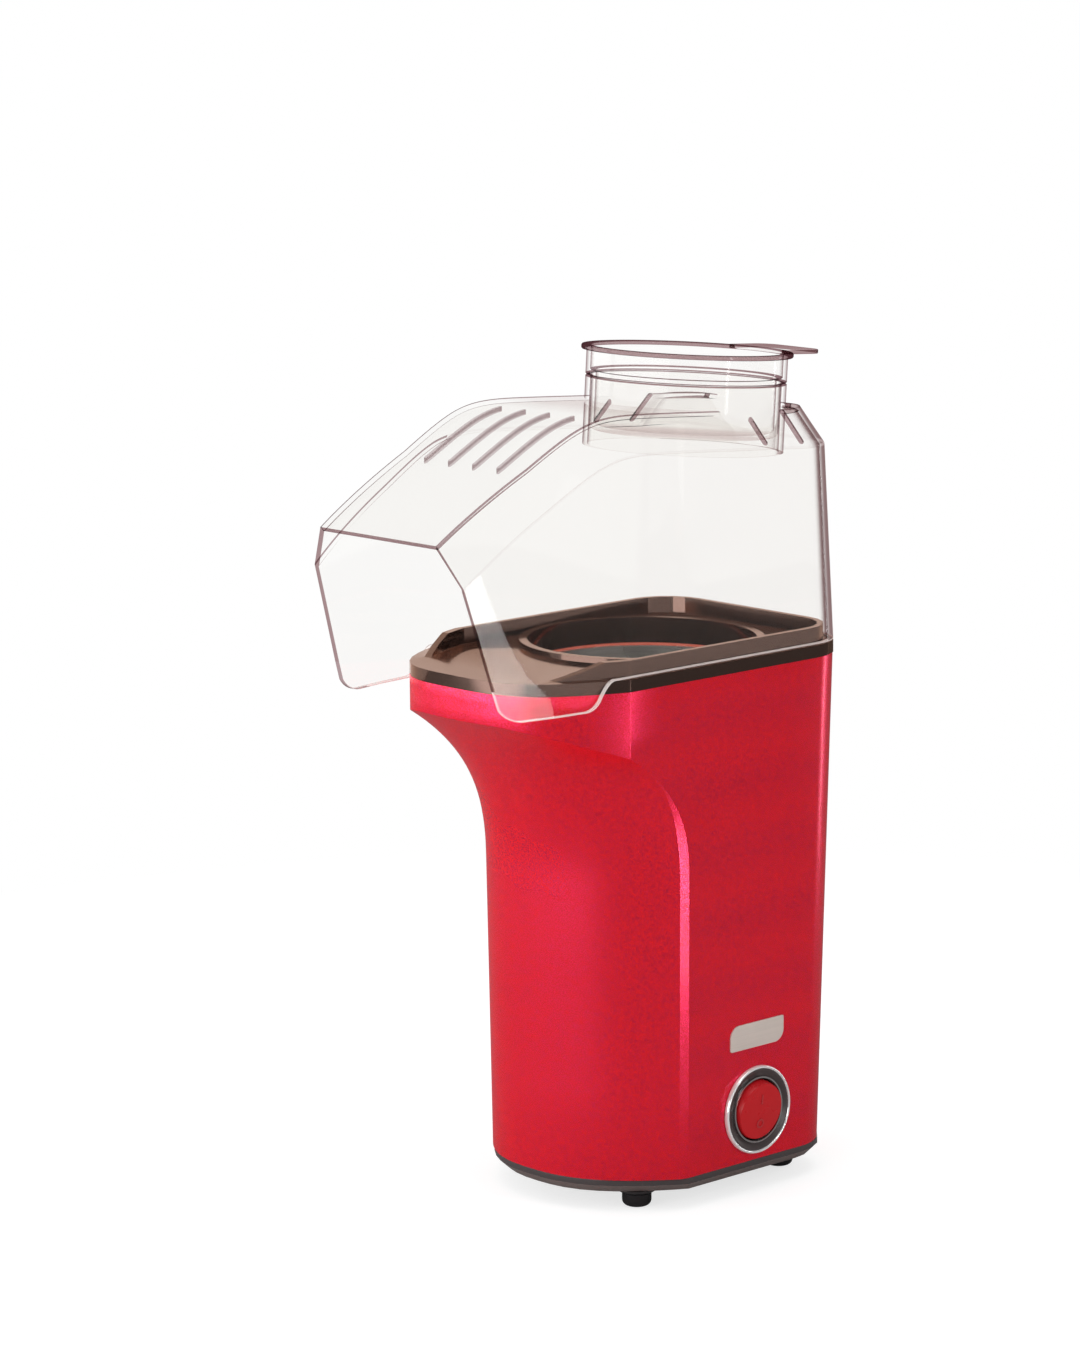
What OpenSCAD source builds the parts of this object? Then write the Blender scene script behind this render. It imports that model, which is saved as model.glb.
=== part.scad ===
// Hot-air popcorn maker: a flared housing on a base plate, a chute deck, a clear hood
// with a measuring cup in its neck, and the motor, fan, heater and popping chamber inside.
// Millimetres. Z is up, the chute faces -Y and the switch is on +X. The origin is on the
// popping chamber's axis, on the plane that the feet stand on.

/* [Popping chamber] */
// Inner radius of the popping chamber
chamber_r = 45; // [42:0.5:47]
// Sheet thickness of the popping chamber
chamber_wall = 0.8; // [0.6:0.1:1.2]
// Height of the chamber's floor above the counter
chamber_floor = 118; // [110:1:126]
// Number of air louvres round the foot of the chamber
louvre_count = 14; // [8:1:18]
// Height of each louvre
louvre_h = 15; // [8:1:20]

/* [Air duct] */
// Gap for hot air between the chamber and its jacket
air_gap = 3.2; // [2.5:0.1:4]
// Sheet thickness of the jacket
jacket_wall = 0.6; // [0.4:0.1:1]
// Wall of the fan housing
duct_wall = 2.5; // [2:0.1:3]
// Height of the fan housing's underside
duct_bottom = 56; // [54:0.5:58]
// Height of the fan housing
duct_h = 26; // [24:0.5:29]

/* [Fan and motor] */
// Radius of the fan wheel
fan_r = 42; // [36:0.5:43]
// Height of the fan blades
blade_h = 13; // [9:0.5:14]
// Number of fan blades
blade_count = 12; // [8:1:16]
// Radius of the motor can
motor_r = 18; // [16:0.5:20]
// Length of the motor can
motor_h = 34; // [30:0.5:36]
// Radius of the motor shaft
shaft_r = 1.5; // [1.2:0.1:2]
// Radial running clearance of the shaft in its bearings
shaft_clearance = 0.05; // [0.02:0.01:0.08]

/* [Heater] */
// Radius of the heating coil
coil_r = 34; // [28:0.5:36]
// Turns of the heating coil
coil_turns = 5; // [3:1:6]
// Radius of the coiled wire
coil_wire_r = 0.9; // [0.6:0.1:1.1]
// Thickness of the mica boards
mica_t = 1.2; // [0.8:0.1:1.6]

/* [Housing] */
// Height of the housing's top rim
shell_top = 217.5; // [212:0.5:225]
// Height of the housing's bottom rim
shell_bottom = 13.6; // [12.5:0.1:14.5]
// Wall of the housing
shell_wall = 2.4; // [2:0.1:3]
// Gap between the fan housing and the housing's side walls
side_gap = 2.2; // [1.8:0.1:4]
// How far each side leans outwards from the bottom rim to the top rim
side_flare = 1.2; // [0.5:0.1:3]
// Where the flat sides end at the front, below the concave part
front_side = 27.8; // [25:0.1:30]
// How far the front bows out beyond that
front_bow = 36.2; // [33:0.1:40]
// Height at which the front starts to curve outwards
cove_start = 135; // [125:1:145]
// How far the concave part brings the middle of the front forward
cove_reach = 37; // [30:0.5:42]
// How far the concave part brings the front's side edges forward
cove_side_reach = 66; // [60:0.5:70]
// Where the lip's outline meets the flat sides, in front of the axis
lip_side = 60.1; // [56:0.1:64]
// How far the lip bows out beyond that
lip_bow = 42.7; // [38:0.1:46]
// Where the rear wall stands at the bottom, behind the axis
rear_low = 61.6; // [60.5:0.1:66]
// Where the rear wall stands at the top, behind the axis
rear_high = 68.8; // [66:0.1:72]
// Radius of the upright corners at the rear
rear_corner_r = 24; // [18:0.5:28]

/* [Base] */
// Height of the flat underside of the base plate
base_bottom = 7.6; // [6.5:0.1:8.5]
// Thickness of the base plate's floor
base_t = 2.6; // [2:0.1:3]
// Width of the chamfer round the underside
base_chamfer = 3.6; // [2:0.1:4]
// Radius of each foot
foot_r = 8; // [6:0.1:9]
// Distance of the feet from the middle, sideways
foot_x = 34; // [31:0.5:36]
// Distance of the front feet in front of the axis
foot_front = 37; // [35.5:0.5:38]
// Distance of the rear feet behind the axis
foot_rear = 45; // [44:0.5:47]
// Width of each air intake slot
slot_w = 3; // [2:0.1:3.6]
// Number of air intake slots
slot_count = 9; // [5:2:9]

/* [Deck] */
// Height of the deck's outer band
band_h = 5; // [4:0.1:7]
// Thickness of the deck
deck_t = 2.4; // [2:0.1:3]
// Height of the deck's upright wall above the band
upstand_h = 6.5; // [4:0.1:9]
// Thickness of the deck's upright wall
upstand_t = 2.6; // [2:0.1:3]
// Where the upright wall starts, in front of the axis
upstand_front = 66; // [60:0.5:70]
// Length of the ramp in front of the upright wall
ramp_len = 18; // [12:0.5:24]
// Height of the bead round the opening
bead_h = 2.2; // [1:0.1:3]
// How much wider the opening is than the chamber
opening_lip = 1.8; // [1:0.1:2]

/* [Hood] */
// Wall of the hood
hood_wall = 2; // [1.6:0.1:2.4]
// How far the hood's side stands inside the deck's band
hood_inset = 1.4; // [1:0.1:2]
// Clearance between the hood and the deck
hood_clearance = 0.4; // [0.3:0.05:0.6]
// Height of the hood's top crease at the bend above the chute
hood_high = 324; // [318:0.5:332]
// Height lost from that bend to the back of the hood
hood_fall = 8.5; // [4:0.5:12]
// Drop from the top crease to the side crease at the back
crease_drop = 14; // [10:0.5:16]
// Drop from the top crease to the side crease at the mouth
mouth_drop = 16.5; // [12:0.5:20]
// Half width of the flat top at the back
top_half_back = 37; // [34:0.5:40]
// Half width of the flat top at the mouth
top_half_mouth = 34.2; // [30:0.5:38]
// Half width between the side creases at the back
side_half_back = 50.5; // [48:0.5:52]
// Half width between the side creases at the mouth
side_half_mouth = 44; // [40:0.5:48]
// How far the mouth's top edge is in front of the axis
mouth_y = 141; // [132:1:150]
// Height of the mouth's top edge
mouth_z = 282; // [276:0.5:288]
// Where the sloping top bends level, in front of the axis
bend_y = 62; // [56:1:68]
// Lowest point of the hood's side tongues below the deck's band
tongue_drop = 11; // [8:0.5:14]
// Number of steam slots across the bend
steam_slots = 4; // [2:1:5]
// Distance between the steam slots
steam_pitch = 14.1; // [11:0.1:15]

/* [Cup] */
// Outer radius of the neck and of the measuring cup
cup_r = 41; // [38:0.5:42]
// Distance of the neck's axis behind the chamber's axis
neck_y = 24.5; // [22:0.5:25]
// Height of the neck above the back of the hood
neck_h = 12.7; // [10:0.1:17]
// How far the cup stands above the neck
cup_stand = 12.4; // [8:0.1:18]
// Depth of the measuring cup
cup_depth = 32.5; // [26:0.5:34]
// Wall of the measuring cup
cup_wall = 1.8; // [1.4:0.1:2.2]
// Clearance between the cup and the neck
cup_clearance = 0.4; // [0.3:0.05:0.6]
// How far the rim's flange stands out
flange_w = 2.2; // [1.5:0.1:3]
// Length of the handle tab beyond the flange
tab_len = 20; // [14:0.5:26]
// Width of the handle tab
tab_w = 34; // [26:1:40]

/* [Switch] */
// Height of the switch's centre
switch_z = 34.8; // [34:0.1:36]
// Distance of the switch's centre behind the axis
switch_y = 10.7; // [8:0.1:11]
// Outer radius of the chrome ring
switch_r = 18.3; // [17:0.1:19]
// Radius of the ball shape that the rocker's rim follows
rocker_r = 12.4; // [10.5:0.1:13]
// How far the rocker tilts between off and on
rocker_tilt = 14; // [8:1:16]
// Gap between the rocker and its well
rocker_gap = 0.6; // [0.4:0.1:0.8]
// Radius of the rocker's pivot pin
pin_r = 1.2; // [0.9:0.1:1.5]
// Radial running clearance of the pivot pin
pin_clearance = 0.05; // [0.02:0.01:0.08]

/* [Badge and cord inlet] */
// Width of the blank badge plate
badge_w = 30.5; // [24:0.5:40]
// Height of the blank badge plate
badge_h = 10.5; // [9:0.5:16]
// Height of the badge plate's centre
badge_z = 66.5; // [64:0.5:80]
// Bore radius of the cord bushing
cord_bore_r = 3.4; // [3:0.1:3.8]
// Height of the cord bushing
cord_z = 28; // [26:0.5:36]

/* [Hidden] */

$fn = 64;
eps = 0.01;
fit_gap = 0.05;          // clearance of a screw or a stub in its hole
seat_gap = 0.25;         // clearance of one moulding inside another

// Air duct and housing, from the inside out
jacket_in = chamber_r + chamber_wall + air_gap - 0.2;
jacket_out = jacket_in + jacket_wall;
duct_out = jacket_out + 0.6;
duct_in = duct_out - duct_wall;
duct_top = duct_bottom + duct_h;
half_low = duct_out + side_gap + shell_wall;
half_high = half_low + side_flare;
lip_power = 3.7;         // how square the lip's outline is
bow_power = 2.5;         // how square the front's outline is
cove_power = 2.6;        // how late the middle of the front curves out
cove_side_power = 2.8;   // how late the front's side edges curve out
front_draft = 0.024;     // lean of the straight part of the front

front_steps = 22;
corner_steps = 5;
level_steps = 12;

function rise(z) = (z - shell_bottom) / (shell_top - shell_bottom);
function cove(z) = max(0, z - cove_start) / (shell_top - 10.5 - cove_start);
function half_at(z) = half_low + side_flare * rise(z);
function rear_at(z) = rear_low + (rear_high - rear_low) * rise(z);
function side_edge(z) = -front_side - cove_side_reach * pow(cove(z), cove_side_power);
function middle(z) = -front_side - front_bow - front_draft * (z - shell_bottom)
    - cove_reach * pow(cove(z), cove_power);
function cove_y(f, z) = side_edge(z) + (middle(z) - side_edge(z)) * (1 - pow(abs(f), bow_power));
function lip_y(f) = -lip_side - lip_bow * (1 - pow(abs(f), lip_power));
function front_y(f, z) = max(lip_y(f), cove_y(f, z));
// Slope factor that keeps a sloping wall as thick as an upright one
function lean(z) = sqrt(1 + pow(cove_reach * cove_power * pow(cove(z), cove_power - 1)
    / (shell_top - 10.5 - cove_start), 2));

// Outline of the housing at height z, moved inwards by d. f runs over the width from -1 to 1.
function outline(z, d = 0) = let (
    a = half_at(z) - d,
    b = rear_at(z) - d,
    r = max(rear_corner_r - d, 2),
    flush = lip_y(0) >= cove_y(0, z) ? 1 : lean(z)
) concat(
    [for (i = [0 : front_steps]) let (f = sin(-90 + 180 * i / front_steps))
        [f * a, front_y(f, z) + d * flush]],
    [for (i = [0 : corner_steps]) let (t = 90 * i / corner_steps)
        [a - r + r * cos(t), b - r + r * sin(t)]],
    [for (i = [0 : corner_steps]) let (t = 90 + 90 * i / corner_steps)
        [r - a + r * cos(t), b - r + r * sin(t)]]);

// Heights of the housing's sections, closer together where the front curves
function levels(low, high) = concat([low],
    [for (i = [0 : level_steps]) cove_start + (high - cove_start) * (1 - pow(1 - i / level_steps, 1.5))]);

// Solid between outlines at the given heights
module loft(zs, d = 0) {
    n = len(outline(zs[0], d));
    m = len(zs);
    points = [for (z = zs) for (p = outline(z, d)) [p[0], p[1], z]];
    faces = concat(
        [[for (i = [0 : n - 1]) i]],
        [[for (i = [n - 1 : -1 : 0]) (m - 1) * n + i]],
        [for (k = [0 : m - 2]) for (i = [0 : n - 1])
            [k * n + i, (k + 1) * n + i, k * n + (i + 1) % n]],
        [for (k = [0 : m - 2]) for (i = [0 : n - 1])
            [k * n + (i + 1) % n, (k + 1) * n + i, (k + 1) * n + (i + 1) % n]]);
    polyhedron(points, faces, convexity = 6);
}

// Upright slab of the housing's outline at height z, moved inwards by d
module slab(z, d, low, high) {
    translate([0, 0, low]) linear_extrude(high - low) polygon(outline(z, d));
}

// Rectangle with round corners, about the middle
module rounded(w, h, r) {
    square([w - 2 * r, h], center = true);
    square([w, h - 2 * r], center = true);
    for (x = [-1, 1], y = [-1, 1])
        translate([x * (w / 2 - r), y * (h / 2 - r)]) circle(r = r);
}

module tube(r_out, r_in, low, high) {
    translate([0, 0, low]) difference() {
        cylinder(r = r_out, h = high - low);
        translate([0, 0, -1]) cylinder(r = r_in, h = high - low + 2);
    }
}

module rod(r, low, high) {
    translate([0, 0, low]) cylinder(r = r, h = high - low);
}

// Places children at (x, y) and mirrored to -x
module pair(x, y) {
    translate([x, y, 0]) children();
    translate([-x, y, 0]) children();
}

// Lies along +X with its start at x = low
module rod_x(r, low, high) {
    translate([low, 0, 0]) rotate([0, 90, 0]) cylinder(r = r, h = high - low);
}

module tube_x(r_out, r_in, low, high) {
    translate([low, 0, 0]) rotate([0, 90, 0]) difference() {
        cylinder(r = r_out, h = high - low);
        translate([0, 0, -1]) cylinder(r = r_in, h = high - low + 2);
    }
}

// Cross-head screw that points up, with its head's underside at height z
head_r = 2.8;
head_h = 1.8;
screw_r = 1.5;
module screw(z, len) {
    difference() {
        union() {
            rod(head_r, z - head_h, z);
            rod(screw_r, z - eps, z + len);
        }
        translate([-0.4, -1.7, z - head_h - 1]) cube([0.8, 3.4, 2]);
        translate([-1.7, -0.4, z - head_h - 1]) cube([3.4, 0.8, 2]);
    }
}

// ---- Housing and base ----
boss_r = 4;
boss_x = half_low - shell_wall - boss_r - 2.2;
boss_front = -front_side + 7.8;
boss_rear = rear_low - 23.6;
boss_low = shell_bottom + 3.8;
boss_h = 16;
lug_x = half_high - shell_wall - 6.4;
lug_y = 30;
lug_t = 3;
lug_top = shell_top - 8.5;
lug_r = 3.5;
boss_end = 2;            // solid top of each boss
boss_rib = 1.6;
boss_wall_x = half_low - shell_wall / 2;
rim_h = 3.4;
rim_t = 2;
counterbore = 0.4;       // depth of the screw heads in the base plate
slot_pitch = 5.6;
intake_r = 27;           // radius of the round field of intake slots
leg_r = 3.5;
leg_bore = 12;           // depth of the screw hole in each leg
leg_x = duct_out - 15;
leg_front = -22;
leg_rear = 33.5;
base_top = base_bottom + base_t;
well_r = rocker_r + rocker_gap;
well_wall = 2.7;
well_out = well_r + well_wall;
panel_x = half_at(switch_z);

module body_shell() {
    color([0.78, 0.12, 0.15]) {
        difference() {
            loft(levels(shell_bottom, shell_top));
            loft(levels(shell_bottom - 1, shell_top + 1), shell_wall);
            translate([0, switch_y, switch_z]) rod_x(well_out + seat_gap, half_low - 12, half_high + 5);
            translate([0, rear_low - 12, cord_z]) rotate([-90, 0, 0])
                cylinder(r = bush_r + fit_gap, h = 24);
        }
        for (y = [boss_front, boss_rear]) pair(boss_x, y) difference() {
            rod(boss_r, boss_low, boss_low + boss_h);
            rod(screw_r + fit_gap, boss_low - 1, boss_low + boss_h - boss_end);
        }
        for (y = [boss_front, boss_rear], s = [-1, 1])
            translate([s > 0 ? boss_x + boss_r - 0.5 : -boss_wall_x, y - boss_rib / 2, boss_low])
                cube([boss_wall_x - boss_x - boss_r + 0.5, boss_rib, boss_h]);
        for (y = [-lug_y, lug_y], s = [-1, 1]) difference() {
            union() {
                translate([s * lug_x, y, 0]) rod(lug_r, lug_top - lug_t, lug_top);
                translate([s > 0 ? lug_x : -half_high + shell_wall / 2, y - lug_r, lug_top - lug_t])
                    cube([half_high - shell_wall / 2 - lug_x, 2 * lug_r, lug_t]);
            }
            translate([s * lug_x, y, 0]) rod(screw_r + fit_gap, lug_top - lug_t - 1, lug_top + 1);
        }
    }
}

module base_plate() {
    z0 = shell_bottom;
    color([0.13, 0.12, 0.12]) difference() {
        union() {
            slab(z0, 0, base_bottom + base_chamfer, z0);
            hull() {
                slab(z0, 0, base_bottom + base_chamfer - 0.1, base_bottom + base_chamfer);
                slab(z0, base_chamfer, base_bottom, base_bottom + 0.1);
            }
            difference() {
                slab(z0, shell_wall + seat_gap, z0 - 1, z0 + rim_h);
                slab(z0, shell_wall + seat_gap + rim_t, z0 - 2, z0 + rim_h + 1);
            }
            for (y = [boss_front, boss_rear]) pair(boss_x, y) rod(boss_r, base_top - 1, boss_low);
        }
        difference() {
            slab(z0, shell_wall + seat_gap + rim_t, base_top, z0 + 1);
            for (y = [boss_front, boss_rear]) pair(boss_x, y) rod(boss_r, base_top - 1, boss_low);
            board_posts();
        }
        for (y = [boss_front, boss_rear]) pair(boss_x, y) {
            rod(screw_r + fit_gap, base_bottom - 1, boss_low + 1);
            rod(head_r + seat_gap, base_bottom - 1, base_bottom + head_h + counterbore);
        }
        pair(leg_x, leg_front) screw_seat();
        pair(leg_x, leg_rear) screw_seat();
        pair(foot_x, -foot_front) rod(stub_r + fit_gap, base_bottom - 1, base_top + 1);
        pair(foot_x, foot_rear) rod(stub_r + fit_gap, base_bottom - 1, base_top + 1);
        for (i = [0 : slot_count - 1]) let (
            x = (i - (slot_count - 1) / 2) * slot_pitch,
            h = 2 * sqrt(pow(intake_r, 2) - pow(x, 2))
        ) translate([x - slot_w / 2, -h / 2, base_bottom - 1]) cube([slot_w, h, base_t + 2]);
    }
}

head_proud = 0.2;        // how far the legs' screw heads stand out of the plate
module screw_seat() {
    rod(screw_r + fit_gap, base_bottom - 1, base_top + 1);
    rod(head_r + seat_gap, base_bottom - 1, base_bottom + head_h - head_proud);
}

// Rubber foot: a low dome under the plate and a stub through it
stub_r = 2.5;
module foot() {
    rotate_extrude() polygon(concat(
        [[0, 0]],
        [for (t = [0 : 15 : 90]) [foot_r - 4.5 + 2.5 * sin(t), 2.5 - 2.5 * cos(t)]],
        [[foot_r - 2, base_bottom - 2.2], [foot_r, base_bottom - 0.9], [foot_r, base_bottom],
            [stub_r, base_bottom], [stub_r, base_top + 0.1], [stub_r + 1, base_top + 0.4],
            [stub_r - 0.7, base_top + 2], [0, base_top + 2]]));
}

module feet() {
    color([0.09, 0.08, 0.09]) {
        pair(foot_x, -foot_front) foot();
        pair(foot_x, foot_rear) foot();
    }
}

module base_screws() {
    head_z = base_bottom + head_h + counterbore;
    len = boss_low - base_bottom + 5;
    color([0.6, 0.6, 0.62])
        for (y = [boss_front, boss_rear]) pair(boss_x, y) screw(head_z, len);
}

module duct_screws() {
    color([0.6, 0.6, 0.62]) for (y = [leg_front, leg_rear])
        pair(leg_x, y) screw(base_bottom + head_h - head_proud, leg_bore - 2);
}

// ---- Deck ----
band_top = shell_top + band_h;
open_r = chamber_r + opening_lip;
collar_out = jacket_out;
collar_low = shell_top - 3.5;
seal_t = 1;
bead_w = 3.4;
rim_depth = 4;           // how far the deck's inner rim reaches down into the housing
deck_rim_t = 2;
upstand_top = band_top + upstand_h;

// Everything behind a slanting plane: the ramp's profile seen from the side
module ramp_wedge() {
    rotate([90, 0, 90]) linear_extrude(2 * half_high + 20, center = true) polygon([
        [-upstand_front - ramp_len, band_top - 1], [-upstand_front - ramp_len, band_top],
        [-upstand_front, upstand_top], [rear_high + 20, upstand_top], [rear_high + 20, band_top - 1]]);
}

module top_deck() {
    z0 = shell_top;
    color([0.12, 0.1, 0.1]) difference() {
        union() {
            difference() {
                slab(z0, 0, z0, band_top);
                slab(z0, shell_wall, z0 - 1, band_top - deck_t);
            }
            difference() {
                slab(z0, shell_wall + seat_gap, z0 - rim_depth, band_top - 1);
                slab(z0, shell_wall + seat_gap + deck_rim_t, z0 - rim_depth - 1, band_top);
            }
            intersection() {
                difference() {
                    slab(z0, upstand_in, band_top - 1, upstand_top);
                    slab(z0, upstand_in + upstand_t, band_top - 2, upstand_top + 1);
                }
                ramp_wedge();
            }
            rod(collar_out, collar_low, band_top - 0.5);
            rod(open_r + bead_w, band_top - 1, band_top + bead_h);
            for (y = [-lug_y, lug_y]) pair(lug_x, y) rod(lug_r, lug_top, band_top - 1);
        }
        rod(open_r, collar_low - 1, upstand_top + 5);
        for (y = [-lug_y, lug_y]) pair(lug_x, y) rod(screw_r + fit_gap, lug_top - 1, band_top - deck_t);
    }
}

module deck_screws() {
    len = band_top - deck_t - lug_top + lug_t - 2;
    color([0.6, 0.6, 0.62]) for (y = [-lug_y, lug_y]) pair(lug_x, y) screw(lug_top - lug_t, len);
}

// ---- Popping chamber, jacket and heater ----
flange_top = collar_low - seal_t;
jacket_top = flange_top - chamber_wall;
plate_t = 1.5;
heater_low = duct_top + plate_t;
heater_open = coil_r - 3;

module popping_chamber() {
    louvre_z = chamber_floor + louvre_h / 3;
    louvre_w = 1.8;
    color([0.78, 0.78, 0.8]) difference() {
        union() {
            difference() {
                rod(chamber_r + chamber_wall, chamber_floor - chamber_wall, flange_top);
                rod(chamber_r, chamber_floor, flange_top + 1);
            }
            tube(collar_out, chamber_r + chamber_wall / 2, jacket_top, flange_top);
        }
        for (i = [0 : louvre_count - 1]) rotate([0, 0, i * 360 / louvre_count])
            translate([chamber_r + chamber_wall / 2, 0, louvre_z + louvre_h / 2]) rotate([30, 0, 0])
                cube([4, louvre_w, louvre_h], center = true);
    }
}

module chamber_seal() {
    color([0.75, 0.3, 0.2]) tube(collar_out - 0.4, open_r + 0.3, flange_top, collar_low);
}

module air_jacket() {
    color([0.65, 0.66, 0.68]) tube(jacket_out, jacket_in, heater_low, jacket_top);
}

module heater_base() {
    color([0.6, 0.61, 0.63]) tube(duct_out, heater_open, duct_top, heater_low);
}

coil_margin = 6;         // from the ends of the boards to the coil
coil_low = heater_low + coil_margin;
coil_pitch = (chamber_floor - chamber_wall - heater_low - 2 * coil_margin) / coil_turns;
board_edge = 4;          // how far the boards reach beyond the coil
notch_h = 2 * (coil_wire_r + 0.3);
function coil_z(turn) = coil_low + coil_pitch * turn;

// One crossed board, notched where each turn of the coil crosses it
module mica_board(first) {
    difference() {
        translate([-coil_r - board_edge, -mica_t / 2, heater_low])
            cube([2 * (coil_r + board_edge), mica_t, chamber_floor - chamber_wall - heater_low]);
        for (s = [0, 1], k = [0 : coil_turns - 1]) let (z = coil_z(k + first + s / 2))
            translate([s == 0 ? coil_r : -coil_r, 0, z])
                cube([2 * board_edge + 0.2, mica_t + 1, notch_h + coil_pitch * 0.02], center = true);
    }
}

module mica_frame() {
    color([0.83, 0.79, 0.66]) difference() {
        union() {
            mica_board(0);
            rotate([0, 0, 90]) mica_board(0.25);
        }
        translate([coil_r, 0, coil_z(coil_turns)])
            cube([2 * board_edge + 0.2, mica_t + 1, notch_h], center = true);
    }
}

module heating_coil() {
    steps = 24;
    sides = 6;
    n = coil_turns * steps;
    points = [for (i = [0 : n]) for (k = [0 : sides - 1]) let (
        t = 360 * i / steps,
        r = coil_r + coil_wire_r * cos(360 * k / sides)
    ) [r * cos(t), r * sin(t), coil_z(i / steps) + coil_wire_r * sin(360 * k / sides)]];
    faces = concat(
        [[for (k = [0 : sides - 1]) k]],
        [[for (k = [sides - 1 : -1 : 0]) n * sides + k]],
        [for (i = [0 : n - 1]) for (k = [0 : sides - 1])
            [i * sides + k, (i + 1) * sides + k, i * sides + (k + 1) % sides]],
        [for (i = [0 : n - 1]) for (k = [0 : sides - 1])
            [i * sides + (k + 1) % sides, (i + 1) * sides + k, (i + 1) * sides + (k + 1) % sides]]);
    color([0.5, 0.42, 0.36]) polyhedron(points, faces, convexity = 10);
}

thermostat_z = chamber_floor + 32;
thermostat_r = 8;
bracket_t = 0.8;
bracket_w = 24;
module thermostat_bracket() {
    color([0.62, 0.63, 0.65])
        translate([-bracket_w / 2, jacket_out, thermostat_z - thermostat_r - 1])
            cube([bracket_w, bracket_t, 2 * thermostat_r + 2]);
}

module thermostat() {
    color([0.2, 0.17, 0.15]) translate([0, jacket_out + bracket_t, thermostat_z]) rotate([-90, 0, 0]) {
        cylinder(r = thermostat_r, h = 4.5);
        translate([0, 0, 4.4]) cylinder(r = thermostat_r - 1.5, h = 1.5);
    }
}

module thermal_fuse() {
    fuse_r = 1.9;
    color([0.85, 0.75, 0.5]) translate([0, jacket_out + fuse_r + 0.02, chamber_floor + 8]) {
        rotate([0, 90, 0]) cylinder(r = fuse_r, h = 11, center = true);
        rotate([0, 90, 0]) cylinder(r = 0.5, h = 24, center = true);
    }
}

// ---- Fan housing, fan and motor ----
plate_h = 2;
cap_h = 6;               // height of the motor's end cap under the fan housing
cap_rim_h = 2.5;
can_nose = 2;            // how far the can's bearing nose stands out at the bottom
can_top = duct_bottom - cap_h;
can_low = can_top - motor_h + can_nose;
can_t = 1.2;             // sheet thickness of the can
cap_screw_x = 12;
bearing_r = 4;
bearing_len = 5;
magnet_out = motor_r - can_t;
magnet_t = 3.4;
armature_r = magnet_out - magnet_t - 0.8;
wheel_low = duct_bottom + plate_h + 4;
wheel_hub_h = 9;

module fan_housing() {
    hub_r = motor_r + 1;
    inlet_r = motor_r + 8;
    spoke_w = 8;
    color([0.2, 0.18, 0.17]) difference() {
        union() {
            tube(duct_out, duct_in, duct_bottom, duct_top);
            tube(duct_out - 1, inlet_r, duct_bottom, duct_bottom + plate_h);
            rod(hub_r, duct_bottom, duct_bottom + plate_h);
            for (t = [30, 150, 270]) rotate([0, 0, t])
                translate([0, -spoke_w / 2, duct_bottom]) cube([duct_in + 1, spoke_w, plate_h]);
            pair(leg_x, leg_front) rod(leg_r, base_top, duct_bottom + 1);
            pair(leg_x, leg_rear) rod(leg_r, base_top, duct_bottom + 1);
        }
        rod(bearing_r + 1.6, duct_bottom - 1, duct_bottom + plate_h + 1);
        pair(cap_screw_x, 0) rod(screw_r + fit_gap, duct_bottom - 1, duct_bottom + plate_h + 1);
        pair(leg_x, leg_front) rod(screw_r + fit_gap, base_top - 1, base_top + leg_bore);
        pair(leg_x, leg_rear) rod(screw_r + fit_gap, base_top - 1, base_top + leg_bore);
    }
}

// Curved blade seen from above, from near the hub to just inside the disc's rim
module fan_blade() {
    arc_r = 28;
    intersection() {
        circle(r = fan_r - 0.6);
        translate([arc_r / 2, arc_r - 4]) difference() {
            circle(r = arc_r);
            circle(r = arc_r - 1);
            translate([-40, -5]) square([80, 60]);
            translate([-60, -60]) square([53, 90]);
        }
    }
}

module fan_wheel() {
    disc_t = 1.2;
    hub_r = 6;
    hub_h = wheel_hub_h;
    color([0.75, 0.75, 0.72]) difference() {
        union() {
            rod(fan_r, wheel_low, wheel_low + disc_t);
            rod(hub_r, wheel_low - disc_t, wheel_low + hub_h);
            for (i = [0 : blade_count - 1]) rotate([0, 0, i * 360 / blade_count])
                translate([0, 0, wheel_low + disc_t - 0.2]) linear_extrude(blade_h) fan_blade();
        }
        rod(shaft_r + 0.02, wheel_low - 3, wheel_low + blade_h + 5);
    }
}

module motor_shaft() {
    color([0.7, 0.7, 0.72]) rod(shaft_r, can_low - can_nose, wheel_low + wheel_hub_h + 0.5);
}

armature_low = can_low + 9;
armature_high = armature_low + 14;
module armature() {
    slots = 5;
    color([0.55, 0.35, 0.2]) difference() {
        rod(armature_r, armature_low, armature_high);
        rod(shaft_r + 0.02, can_low, can_top);
        for (i = [0 : slots - 1]) rotate([0, 0, i * 360 / slots])
            translate([armature_r - 3, -1, armature_low - 1])
                cube([4, 2, armature_high - armature_low + 2]);
    }
}

commutator_r = 4;
commutator_h = 5;
module commutator() {
    color([0.8, 0.5, 0.3])
        tube(commutator_r, shaft_r + 0.02, armature_high, armature_high + commutator_h);
}

module motor_can() {
    color([0.68, 0.69, 0.7]) difference() {
        union() {
            rod(motor_r, can_low, can_top);
            rod(bearing_r + 1.5, can_low - can_nose, can_low + 1);
        }
        rod(magnet_out, can_low + can_t, can_top + 1);
        rod(bearing_r + 0.02, can_low - can_nose - 1, can_low + 5);
    }
}

magnet_gap = 10;
module motor_magnets() {
    color([0.3, 0.3, 0.32]) difference() {
        tube(magnet_out - 0.02, magnet_out - magnet_t, armature_low - 2, armature_high + 2);
        translate([-magnet_gap / 2, -motor_r, can_low]) cube([magnet_gap, 2 * motor_r, motor_h]);
    }
}

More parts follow.
